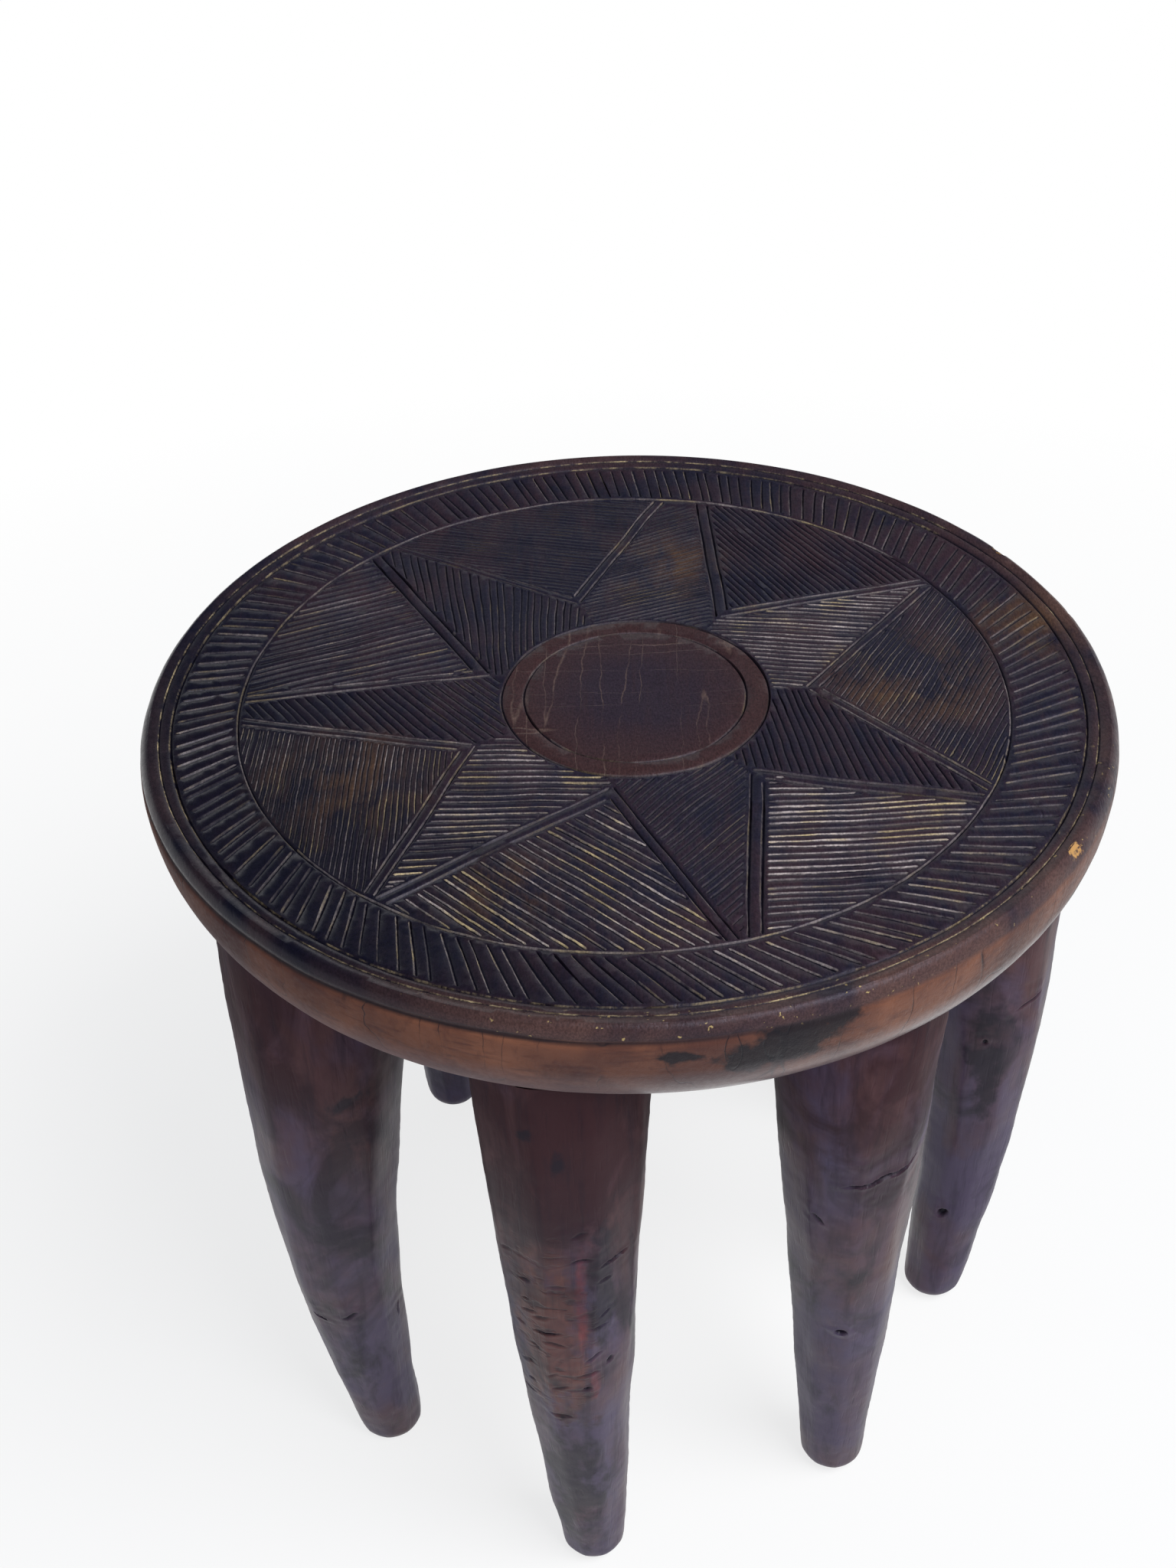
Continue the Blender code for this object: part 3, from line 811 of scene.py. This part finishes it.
def build_seat_finish():
    """A top stained almost black, a disc and rim worn to reddish brown, an orange brown flank."""
    material, tree, shader, places = new_material("carved_seat_wood")
    z = add_node(tree, "ShaderNodeSeparateXYZ", [(0, places)]).outputs["Z"]
    radius = distance_from(tree, places, (0, 0))
    from_disc = distance_from(tree, places, MEDALLION_CENTRE)
    cut, lit_wall, dust_and_highlight, chipped, stained = read_marks(tree, SEAT_MARKS)
    fibres, pores = figured(tree, places, (1, 0.14, 0.5))
    patches = texture(tree, places, 16, 3, 0.6, 0.5)
    fine = texture(tree, places, 420, 2, 0.6)
    grain = texture(tree, stretched(tree, places, (1, 0.4, 1)), 1300, 2, 0.7)
    rubbed = texture(tree, places, 90, 4, 0.8)
    # How far a place lies in the painted shade on the front left side of the seat
    shaded_side = spread(tree, towards(tree, places, SHADED_SIDE), 0.30, 0.80)
    towards_front = towards(tree, places, WORN_AND_LIT_SIDE)
    wear_and_light_to_front = spread(tree, towards_front, -0.35, 0.55, 0.35, 1)

    # Black stain, maroon where it is thin, darkened with painted shade on the front left side, and brown
    # wood where it is worn through
    reddish = texture(tree, stretched(tree, places, (1, 0.35, 1)), 60, 5, 0.75)
    reddish = maths(tree, "ADD", patches, reddish)
    top = blend(tree, spread(tree, reddish, 0.90, 1.25, 0, 0.85), TOP_BLACK, TOP_MAROON)
    top = blend(tree, spread(tree, fibres, 0.5, 0.75, 0, 0.5), top, TOP_MAROON)
    top = blend(tree, product(tree, shaded_side, 0.9), top, PAINTED_SHADE_BLACK)
    worn_through = 0.0
    for middle, reach in BROWN_PATCHES:
        near = spread(tree, distance_from(tree, places, middle), reach, reach * 0.3)
        worn_through = maths(tree, "MAXIMUM", worn_through, near)
    worn_through = product(tree, worn_through, spread(tree, reddish, 0.86, 1.16, 0, 0.8))
    top = blend(tree, worn_through, top, TOP_BROWN)
    speckled = spread(tree, texture(tree, places, 230, 3, 0.7), 0.35, 0.70)
    top = blend(tree, product(tree, dust_and_highlight, speckled, 0.25), top, LAND_GREY)

    # The plain disc and its crackle
    inside_disc = spread(tree, from_disc, MEDALLION_RADIUS + 0.0008, MEDALLION_RADIUS - 0.0008)
    disc_edge = layered(tree, from_disc, (patches, 0.03))
    disc = blend(tree, spread(tree, disc_edge, 0.036, 0.068), DISC_DARK, DISC_RED)
    disc = blend(tree, spread(tree, fibres, 0.45, 0.7, 0, 0.35), disc, DISC_RED)
    crackle = hairlines(tree, places, (1, 0.05, 0), 120.0, 0.016)
    crackle = maths(tree, "MAXIMUM", crackle, hairlines(tree, places, (0.05, 1, 0), 70.0, 0.006))
    crackle = product(tree, crackle, inside_disc)
    disc = blend(tree, product(tree, crackle, 0.6), disc, HAIRLINE_PALE)
    top = blend(tree, inside_disc, top, disc)

    # The rim, worn brown towards the soft box, where this also paints it lighter as if lit, and less so on
    # the side with painted shade
    on_rim = spread(tree, radius, BAND_RADIUS - 0.0015, RIM_LINE_RADIUS + 0.002)
    unshaded = spread(tree, shaded_side, 0.4, 1, 1, 0.45)
    rim_wear = product(tree, on_rim, spread(tree, patches, 0.36, 0.62), wear_and_light_to_front, unshaded)
    top = blend(tree, rim_wear, top, RIM_BROWN)

    # Cuts darkened with painted shade, pale dust with a painted highlight on the wall of each that faces
    # the light, and yellow dust in the rim lines
    # Painted shade: each cut darkened towards its bottom
    top = blend(tree, spread(tree, cut, 0.05, 0.75, 0, 0.9), top, PAINTED_SHADE_BLACK)
    up_the_wall = spread(tree, layered(tree, lit_wall, (fine, 0.6)), 0.50, 0.80)
    on_wall = spread(tree, cut, 0.01, 0.10, 0, 0.9)
    uneven = spread(tree, rubbed, 0.36, 0.64, 0.25, 1.25)
    drifts = spread(tree, texture(tree, places, 17, 2), 0.40, 0.56, 0.5, 1)
    in_rim_lines = spread(tree, radius, BAND_RADIUS - 0.004, BAND_RADIUS - 0.001)
    off_rim_lines = spread(tree, in_rim_lines, 0, 1, 1, 0)
    left_on_rim = maths(tree, "MAXIMUM", spread(tree, rubbed, 0.42, 0.60), off_rim_lines)
    # Pale dust with a painted highlight, on the wall of each cut that faces the soft box
    dust_and_highlight_share = product(tree, up_the_wall, on_wall, dust_and_highlight, uneven, drifts, left_on_rim)
    yellowed = spread(tree, texture(tree, places, 45, 3, 0.6), 0.50, 0.64)
    yellowed = maths(tree, "MAXIMUM", yellowed, in_rim_lines)
    top = blend(tree, dust_and_highlight_share, top, blend(tree, yellowed, PALE_DUST_AND_HIGHLIGHT, DUST_YELLOW))
    top = blend(tree, spread(tree, grain, 0.35, 0.65, 0.45, 0), top, PORE_BLACK)
    flecks = spread(tree, texture(tree, places, 330, 2, 0.6), 0.68, 0.73)
    flecks = product(tree, flecks, on_rim, spread(tree, towards_front, 0.55, 0.80))
    top = blend(tree, product(tree, flecks, 0.8), top, FLECK_YELLOW)

    # The flank, orange brown and scraped, with stains and cracks, and a painted sheen low down
    # Orange towards the soft box, where the flank is worn and also painted lighter as if lit; browner away
    # from it
    worn = product(tree, spread(tree, patches, 0.35, 0.65), wear_and_light_to_front)
    flank = blend(tree, worn, FLANK_BROWN, FLANK_ORANGE)
    flank = blend(tree, spread(tree, fibres, 0.52, 0.78, 0, 0.6), flank, FLANK_BROWN)
    scraped = texture(tree, stretched(tree, places, (1, 1, 5)), 60, 3, 0.6)
    flank = blend(tree, spread(tree, scraped, 0.52, 0.70, 0, 0.6), flank, FLANK_BROWN)
    ragged_stain = layered(tree, stained, (texture(tree, places, 110, 3, 0.6), 1.6))
    flank = blend(tree, spread(tree, ragged_stain, 1.12, 1.45, 0, 0.92), flank, STAIN_BLUE_BLACK)
    below_crest = spread(tree, z, SEAT_TOP - 0.0050, SEAT_TOP - 0.0075)
    on_flank = product(tree, below_crest, spread(tree, radius, 0.17, 0.19))
    flank_cracks = product(tree, hairlines(tree, places, (1, 1, 0.05), 75.0, 0.012), on_flank)
    flank = blend(tree, product(tree, flank_cracks, 0.85), flank, STAIN_BLUE_BLACK)
    # Painted sheen: the low flank lightened as if it reflected the floor; the same mask also adds real coat
    # gloss
    low_flank = spread(tree, z, SEAT_UNDERSIDE + 0.026, SEAT_UNDERSIDE + 0.006)
    flank = blend(tree, product(tree, low_flank, 0.7), flank, FLANK_PAINTED_SHEEN)
    # Painted shade: a dark line in the crease under the rim
    flank = blend(tree, spread(tree, cut, 0.30, 0.90, 0, 0.85), flank, STAIN_BLUE_BLACK)
    colour = blend(tree, on_flank, top, flank)
    underneath = spread(tree, z, SEAT_UNDERSIDE + 0.006, SEAT_UNDERSIDE + 0.001)
    colour = blend(tree, product(tree, underneath, 0.75), colour, FLANK_BROWN)
    splintered = layered(tree, chipped, (texture(tree, places, 420, 3, 0.7), 2.4))
    chip = product(tree, spread(tree, splintered, 1.45, 1.75), spread(tree, chipped, 0, 0.1))
    colour = blend(tree, chip, colour, FRESH_WOOD)

    rough = spread(tree, fine, 0.3, 0.7, 0.36, 0.50)
    shaded_side_gloss = spread(tree, below_crest, 0, 1, -0.14, 0.25)
    rough = layered(tree, rough, (dust_and_highlight_share, 0.35), (cut, 0.15), (shaded_side, shaded_side_gloss))
    polish = product(tree, on_flank, low_flank, spread(tree, shaded_side, 0, 0.6, 1, 0))
    height = layered(tree, 0.0, (fibres, 0.35), (fine, 0.25), (grain, 0.22), (pores, -0.15))
    height = layered(tree, height, (flank_cracks, -0.5), (crackle, -0.2))
    height = product(tree, height, spread(tree, shaded_side, 0, 1, 1, 0.4))
    dress(tree, shader, colour, rough, polish, height)
    shader.inputs["Coat Roughness"].default_value = 0.25
    shader.inputs["Specular IOR Level"].default_value = 0.20
    shader.inputs["Specular Tint"].default_value = WAX_TINT
    return material


seat = add_object("carved_seat", build_seat())
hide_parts("seat")
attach(seat, "root")
seat.data.materials.append(build_seat_finish())


# Legs
# Each leg is hewn from the same dark wood with an adze, bowed and tapering to a rounded foot, then
# scraped and rubbed smooth. Its shoulder is coped to the seat's round flank, over a blind tenon.
LEG_NAMES = ("right", "back_right", "back", "back_left", "left", "front_left", "front", "front_right")
SHOULDER_GAP = 0.0001
FOOT_ROUNDING = 0.010
FOOT_STEPS = 8
LEG_SIDES = 60
LEG_RINGS = 140
FLATS = 9
FLAT_SHARE = 0.55
FLAT_WANDER = 0.22
HEWN_HOLLOWS = 0.0011
TOOL_RIPPLES = 0.00022
HEWING_MEAN = 0.0016
SMOOTH_FOOT = 0.015
SHOULDER_SHARES = (0.7, 0.35)
SCAR_WANDER = 0.0012
SCAR_MARGIN = 0.006
SEED_STEP = 0.37
LEG_MARKS = ("scarred", "worn", "red", "stained")

# Old cuts and knots: leg, turn from the way the leg faces in degrees, height, half their length and
# half their width, tilt in degrees and depth
SCARS = (
    ("front_right", -9, 0.261, 0.019, 0.0016, 8, 0.0022),
    ("front_right", -39, 0.1415, 0.0028, 0.0022, 0, 0.0030),
    ("front_right", -64, 0.2305, 0.0045, 0.0010, -50, 0.0012),
    ("front_left", 20, 0.127, 0.0045, 0.0010, -30, 0.0012),
    ("front_left", 58, 0.132, 0.0045, 0.0012, 25, 0.0012),
    ("front_left", 122, 0.1155, 0.0060, 0.0008, 85, 0.0010),
    ("right", -113, 0.079, 0.0042, 0.0026, 60, 0.0022),
    ("right", -53, 0.239, 0.0085, 0.0009, 25, 0.0010),
    ("right", -96, 0.215, 0.0022, 0.0014, 80, 0.0012),
    ("front", 50, 0.253, 0.0080, 0.0011, -4, 0.0015),
    ("front", -10, 0.211, 0.0075, 0.0011, 12, 0.0012),
    ("front", 22, 0.1725, 0.0020, 0.0014, 0, 0.0015),
    ("front", 46, 0.187, 0.0022, 0.0016, 30, 0.0012),
    ("back", 10, 0.205, 0.0100, 0.0012, 15, 0.0014),
    ("back_right", -25, 0.150, 0.0040, 0.0020, 40, 0.0020),
    ("back_left", 30, 0.240, 0.0090, 0.0011, -20, 0.0014),
    ("left", -15, 0.110, 0.0032, 0.0022, 10, 0.0022),
)
# Chatter marks of the adze, in rows down a leg: leg, turn in degrees, highest, lowest and their number
CHATTER_ROWS = (
    ("front", -32, 0.254, 0.160, 9),
    ("front", -8, 0.240, 0.150, 6),
    ("front", 30, 0.270, 0.180, 7),
    ("back_left", 15, 0.220, 0.150, 7),
)

# Worn places, where the adze chattered and redder wood shows, red marks and dark stains: leg, turn from the
# way the leg faces in degrees, height, half their width and half their height
LEG_WEAR = (("front", -8, 0.205, 0.022, 0.075), ("back_left", 15, 0.180, 0.018, 0.060))
LEG_RED_MARKS = (("front", 20, 0.232, 0.0032, 0.045), ("front", 30, 0.176, 0.003, 0.016))
LEG_STAINS = (
    ("front", -5, 0.085, 0.018, 0.075),
    ("right", -90, 0.200, 0.012, 0.050),
    ("front", -14, 0.331, 0.006, 0.005),
    ("front", 8, 0.318, 0.004, 0.012),
    ("front", 40, 0.238, 0.008, 0.050),
    ("front_left", 76, 0.285, 0.010, 0.006),
    ("left", 25, 0.220, 0.008, 0.010),
)


def chatter():
    """The chatter marks as short, shallow scars, no two alike."""
    for leg, degrees, highest, lowest, count in CHATTER_ROWS:
        for i in range(count):
            share = (i + hand.uniform(-0.4, 0.4)) / (count - 1)
            height = highest + (lowest - highest) * share
            half_length, half_width = hand.uniform(0.0025, 0.0060), hand.uniform(0.0007, 0.0015)
            tilt, depth = hand.uniform(-8, 26), hand.uniform(0.0004, 0.0009)
            yield leg, degrees + hand.uniform(-12, 12), height, half_length, half_width, tilt, depth


SCARS += tuple(chatter())


class LegShape:
    """Axis, bow and girth of a CAD leg, read from its own points."""

    def __init__(self, name):
        points = [vertex.co.copy() for vertex in frame["nodes"]["leg_" + name].data.vertices]
        tenon = [point for point in points if point.z > SEAT_UNDERSIDE + 0.02]
        self.top = sum(tenon, Vector()) / len(tenon)
        self.top.z = 0
        self.outwards = self.top.normalized()
        mounts = {mount["name"]: mount["pos_m"] for mount in frame["record"]["mounts"]}
        self.foot = Vector(mounts["foot_" + name])
        middle_height, middle, middle_girth = self.ring_near(points, SEAT_UNDERSIDE * 0.5)
        low_height, _, low_girth = self.ring_near(points, SEAT_UNDERSIDE * 0.2)
        self.taper = (middle_girth - low_girth) / (middle_height - low_height)
        self.foot_girth = low_girth - self.taper * low_height
        share = middle_height / SEAT_UNDERSIDE
        straight = self.foot.lerp(self.top, share)
        self.bow = (middle - straight).dot(self.outwards) / math.sin(math.pi * share)

    @staticmethod
    def ring_near(points, height):
        """Height, middle and radius of the ring of points nearest to a height."""
        level = min((point.z for point in points), key=lambda z: abs(z - height))
        ring = [point for point in points if abs(point.z - level) < 0.0001]
        middle = sum(ring, Vector()) / len(ring)
        girth = sum((point - middle).length for point in ring) / len(ring)
        return level, Vector((middle.x, middle.y, 0)), girth

    def middle(self, height):
        share = height / SEAT_UNDERSIDE
        place = self.foot.lerp(self.top, share)
        place += self.outwards * self.bow * math.sin(math.pi * share)
        place.z = height
        return place

    def girth(self, height):
        return self.foot_girth + self.taper * height

    def across(self, turn):
        """The level direction at a turn from the way the leg faces."""
        return Matrix.Rotation(turn, 3, "Z") @ self.outwards


def seat_floor(place):
    """Height of the seat's underside or flank above a place."""
    widest = SEAT_TOP - ROLL_HEIGHT
    share = (math.hypot(place.x, place.y) - SEAT_RADIUS + FLANK_INSET) / FLANK_INSET
    share = min(1, max(0, share))
    return widest - (widest - SEAT_UNDERSIDE) * math.sqrt(1 - share * share)


def scar_depth(name, turn, height, girth):
    """How deep the old cuts and knots of a leg go at a place, and how dark they are."""
    depth, dark = 0, 0
    for leg, degrees, level, half_length, half_width, tilt, deep in SCARS:
        if leg != name:
            continue
        across = short_way(turn - math.radians(degrees)) * girth
        up = height - level
        slope = math.radians(tilt)
        along = across * math.cos(slope) + up * math.sin(slope)
        aside = up * math.cos(slope) - across * math.sin(slope)
        aside += SCAR_WANDER * noise.noise(Vector((along * 150, level * 90, 2)))
        share = 1 - math.hypot(along / half_length, aside / half_width)
        if share > 0:
            depth += deep * min(1, share * 1.6)
            dark = max(dark, min(1, share * 2.2) * min(1, deep / 0.0012))
        elif share > -1.5:
            depth -= deep * 0.12 * (1 + share / 1.5)
    return depth, dark


def nearness(marks, name, turn, height, girth):
    """How near a place is to a leg's marks: 1 in the middle of one, 0 at its edge, less beyond it."""
    nearest = -1
    for leg, degrees, level, half_width, half_height in marks:
        if leg == name:
            across = short_way(turn - math.radians(degrees)) * girth
            away = math.hypot(across / half_width, (height - level) / half_height)
            nearest = max(nearest, 1 - away)
    return nearest


def hewn(turn, height, girth, seed):
    """How far the hewn surface lies inside the round one: long flats, shallow hollows, tool marks."""
    wander = FLAT_WANDER * noise.noise(Vector((height * 9, seed, 0)))
    sector = math.tau / FLATS
    off = (turn + wander + seed) % sector - sector / 2
    flat = girth * (1 - math.cos(sector / 2) / math.cos(off)) * FLAT_SHARE
    spot = Vector((math.cos(turn) * girth * 60, math.sin(turn) * girth * 60, height * 26 + seed * 7))
    hollows = HEWN_HOLLOWS * (1 + noise.noise(spot))
    ripples = TOOL_RIPPLES * (1 + noise.noise(Vector((spot.x * 3, spot.y * 3, height * 240 + seed))))
    return flat + hollows + ripples - HEWING_MEAN


def build_leg(name, seed):
    """A leg with its rounded foot, its bowed shaft and its coped shoulder, and the marks of its making."""
    leg = LegShape(name)
    bm = bmesh.new()
    columns = []
    for side in range(LEG_SIDES):
        turn = math.tau * side / LEG_SIDES
        across = leg.across(turn)
        top = SEAT_UNDERSIDE
        for _ in range(8):
            top = seat_floor(leg.middle(top) + across * leg.girth(top)) - SHOULDER_GAP
        column = []
        for step in range(FOOT_STEPS):
            angle = math.radians(90) * step / FOOT_STEPS
            inset = FOOT_ROUNDING * (1 - math.sin(angle))
            height = FOOT_ROUNDING * (1 - math.cos(angle))
            column.append(leg.middle(height) + across * (leg.girth(height) - inset))
        for ring in range(LEG_RINGS + 1):
            height = FOOT_ROUNDING + (top - FOOT_ROUNDING) * ring / LEG_RINGS
            column.append(leg.middle(height) + across * leg.girth(height))
        edge = column[-1]
        for share in SHOULDER_SHARES:
            place = leg.middle(SEAT_UNDERSIDE).lerp(edge, share)
            place.z = seat_floor(place) - SHOULDER_GAP
            column.append(place)
        columns.append([bm.verts.new(place) for place in column])
    for column, following in in_turn(columns):
        for i in range(len(column) - 1):
            bm.faces.new((column[i], following[i], following[i + 1], column[i + 1]))
    bottom = bm.verts.new(leg.foot)
    top = bm.verts.new(leg.middle(SEAT_UNDERSIDE) - Vector((0, 0, SHOULDER_GAP)))
    for column, following in in_turn(columns):
        bm.faces.new((bottom, following[0], column[0]))
        bm.faces.new((top, column[-1], following[-1]))

    near_scars = set()
    for scarred, degrees, level, half_length, *_ in SCARS:
        if scarred == name:
            spot = leg.middle(level) + leg.across(math.radians(degrees)) * leg.girth(level)
            reach = half_length + SCAR_MARGIN
            near_scars.update(e for e in bm.edges if (e.verts[0].co - spot).length < reach)
    bmesh.ops.subdivide_edges(bm, edges=list(near_scars), cuts=3, use_grid_fill=True)

    marks = []
    for vertex in bm.verts:
        height = vertex.co.z
        from_axis = vertex.co - leg.middle(height)
        from_axis.z = 0
        girth = leg.girth(height)
        share = min(1, from_axis.length / girth)
        turn = leg.outwards.to_2d().angle_signed(from_axis.to_2d(), 0) if share > 0.01 else 0
        turn = -turn
        depth, dark = scar_depth(name, turn, height, girth)
        inward = hewn(turn, height, girth, seed) * min(1, height / SMOOTH_FOOT) + depth
        if share > 0.05:
            vertex.co -= from_axis.normalized() * inward * share * share
        worn = nearness(LEG_WEAR, name, turn, height, girth)
        red = nearness(LEG_RED_MARKS, name, turn, height, girth)
        stained = nearness(LEG_STAINS, name, turn, height, girth)
        marks.append((dark, worn, red, stained))
    bmesh.ops.recalc_face_normals(bm, faces=bm.faces)
    mesh = bpy.data.meshes.new("leg_" + name)
    bm.to_mesh(mesh)
    bm.free()
    write_marks(mesh, LEG_MARKS, marks)
    mesh.shade_smooth()
    mesh.set_sharp_from_angle(angle=math.radians(50))
    return mesh


LEG_PURPLE = (0.062, 0.046, 0.086, 1)
LEG_BROWN = (0.068, 0.028, 0.030, 1)
LEG_DARK = (0.008, 0.006, 0.012, 1)
LEG_UMBER = (0.027, 0.007, 0.009, 1)
LEG_WORN = (0.115, 0.042, 0.028, 1)
LEG_PINK = (0.200, 0.035, 0.045, 1)
LEG_POLISH = 0.14


def build_leg_finish():
    """Mottled purple brown, browner towards the seat and darkened there with painted shade, with a satin
    gloss.
    """
    material, tree, shader, places = new_material("hewn_leg_wood")
    z = add_node(tree, "ShaderNodeSeparateXYZ", [(0, places)]).outputs["Z"]
    scarred, worn, red, stained = read_marks(tree, LEG_MARKS)
    fibres, pores = figured(tree, places, (1, 1, 0.11))
    patches = texture(tree, stretched(tree, places, (1, 1, 0.55)), 21, 4, 0.6, 0.4)
    darks = texture(tree, stretched(tree, places, (1, 1, 0.6)), 34, 4, 0.6, 0.8)
    ragged = texture(tree, stretched(tree, places, (1, 1, 0.7)), 90, 3, 0.65)

    warm = maths(tree, "ADD", patches, spread(tree, z, 0.10, 0.34, -0.09, 0.12))
    colour = blend(tree, spread(tree, warm, 0.38, 0.64), LEG_PURPLE, LEG_BROWN)
    bare = spread(tree, layered(tree, worn, (ragged, 1.6)), 0.85, 1.25)
    colour = blend(tree, product(tree, bare, 0.8), colour, LEG_WORN)
    streak = spread(tree, layered(tree, red, (ragged, 2.0)), 1.10, 1.70, 0, 0.5)
    colour = blend(tree, streak, colour, LEG_PINK)
    # Dark mottles, and painted shade darkening the legs towards the seat above them
    dark = blend(tree, spread(tree, z, 0.20, 0.32), LEG_DARK, LEG_UMBER)
    mottles_and_seat_shade = maths(tree, "ADD", darks, spread(tree, z, 0.12, 0.35, -0.03, 0.15))
    colour = blend(tree, spread(tree, mottles_and_seat_shade, 0.50, 0.68, 0, 0.85), colour, dark)
    colour = blend(tree, spread(tree, fibres, 0.5, 0.75, 0, 0.5), colour, LEG_DARK)
    dashes = texture(tree, stretched(tree, places, (1, 1, 2.4)), 85, 2, 0.5, 0.6)
    dashes = product(tree, spread(tree, dashes, 0.55, 0.68), bare)
    colour = blend(tree, product(tree, dashes, 0.6), colour, LEG_DARK)
    stain = spread(tree, layered(tree, stained, (ragged, 2.4)), 1.30, 1.75, 0, 0.8)
    colour = blend(tree, maths(tree, "MAXIMUM", scarred, stain), colour, LEG_DARK)

    rough = layered(tree, spread(tree, patches, 0.35, 0.65, 0.46, 0.32), (fibres, 0.12))
    rough = maths(tree, "ADD", rough, spread(tree, z, 0.26, 0.34, 0, 0.3))
    below_seat = spread(tree, z, 0.30, 0.20, 0, LEG_POLISH)
    above_foot = spread(tree, z, 0.06, 0.15, 0.04, LEG_POLISH)
    polish = maths(tree, "MINIMUM", below_seat, above_foot)
    height = layered(tree, 0.0, (fibres, 0.3), (ragged, 0.5), (pores, -0.2), (dashes, -0.9))
    dress(tree, shader, colour, rough, polish, height)
    shader.inputs["Coat Roughness"].default_value = 0.2
    shader.inputs["Specular IOR Level"].default_value = 0.18
    shader.inputs["Specular Tint"].default_value = WAX_TINT
    return material


leg_finish = build_leg_finish()
for seed, name in enumerate(LEG_NAMES):
    leg_object = add_object("hewn_leg_" + name, build_leg(name, seed * SEED_STEP))
    leg_object.data.materials.append(leg_finish)
    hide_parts("leg_" + name)
    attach(leg_object, "root")


# Studio
# A plain white floor that fades into a white backdrop, a large soft box high at the front right, and walls
# that are white low down, where the polished legs reflect them, under a dim, bluish ceiling.
FLOOR_SIZE = 6
FLOOR_WHITE = (0.93, 0.93, 0.93, 1)
HAZE = 0.78
SHADOW_REACH = 0.30
FADE_END = 1.1
SOFT_BOX_PLACE = Vector((1.1, -0.9, 2.3))
SOFT_BOX_AIM = Vector((0, 0, 0.3))
SOFT_BOX_WIDTH = 1.6
SOFT_BOX_HEIGHT = SOFT_BOX_WIDTH * 0.75
SOFT_BOX_POWER = 64
WALL_TOP = 0.15
CEILING_START = 0.36
CEILING_LIGHT = 0.22
CEILING_BLUE = (0.70, 0.82, 1.0, 1)

floor_mesh = bpy.data.meshes.new("studio_floor")
half = FLOOR_SIZE / 2
floor_corners = [(-half, -half, 0), (half, -half, 0), (half, half, 0), (-half, half, 0)]
floor_mesh.from_pydata(floor_corners, [], [(0, 1, 2, 3)])
floor = add_object("studio_floor", floor_mesh)
floor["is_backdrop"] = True


def build_floor_paint():
    """White paint that keeps the stool's shadow, and shows as plain white further off."""
    material, tree, paint, places = new_material("floor_white")
    paint.inputs["Base Color"].default_value = FLOOR_WHITE
    paint.inputs["Roughness"].default_value = 0.9
    paint.inputs["Specular IOR Level"].default_value = 0
    far_off = spread(tree, distance_from(tree, places, (0, 0)), SHADOW_REACH, FADE_END, HAZE, 1)
    rays = add_node(tree, "ShaderNodeLightPath").outputs
    seen = maths(tree, "MAXIMUM", rays["Is Camera Ray"], rays["Is Glossy Ray"])
    seen = maths(tree, "MAXIMUM", seen, rays["Is Transmission Ray"])
    white = add_node(tree, "ShaderNodeEmission").outputs["Emission"]
    share = product(tree, far_off, seen)
    mixed = add_node(tree, "ShaderNodeMixShader", [(0, share), (1, paint.outputs[0]), (2, white)])
    tree.links.new(mixed.outputs[0], tree.nodes["Material Output"].inputs["Surface"])
    return material


floor_mesh.materials.append(build_floor_paint())

soft_box_data = bpy.data.lights.new("soft_box", "AREA")
soft_box_data.shape = "RECTANGLE"
soft_box_data.size = SOFT_BOX_WIDTH
soft_box_data.size_y = SOFT_BOX_HEIGHT
soft_box_data.energy = SOFT_BOX_POWER
soft_box = add_object("soft_box", soft_box_data)
soft_box.location = SOFT_BOX_PLACE
soft_box.rotation_euler = (SOFT_BOX_AIM - SOFT_BOX_PLACE).to_track_quat("-Z", "Y").to_euler()

world = bpy.data.worlds.new("white_studio")
world.use_nodes = True
sky_tree = world.node_tree
sky = sky_tree.nodes["Background"]
direction = add_node(sky_tree, "ShaderNodeTexCoord").outputs["Generated"]
upward = add_node(sky_tree, "ShaderNodeSeparateXYZ", [(0, direction)]).outputs["Z"]
wall_light = spread(sky_tree, upward, WALL_TOP, CEILING_START, 1, CEILING_LIGHT)
sky_tree.links.new(wall_light, sky.inputs["Strength"])
overhead = spread(sky_tree, upward, WALL_TOP, CEILING_START)
sky_tree.links.new(blend(sky_tree, overhead, (1, 1, 1, 1), CEILING_BLUE), sky.inputs["Color"])
bpy.context.scene.world = world
bpy.context.scene.view_settings.view_transform = "Standard"

boxes = {"cad": cad_box, "visual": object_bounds()}
{name: [list(corner) for corner in box] for name, box in boxes.items()}
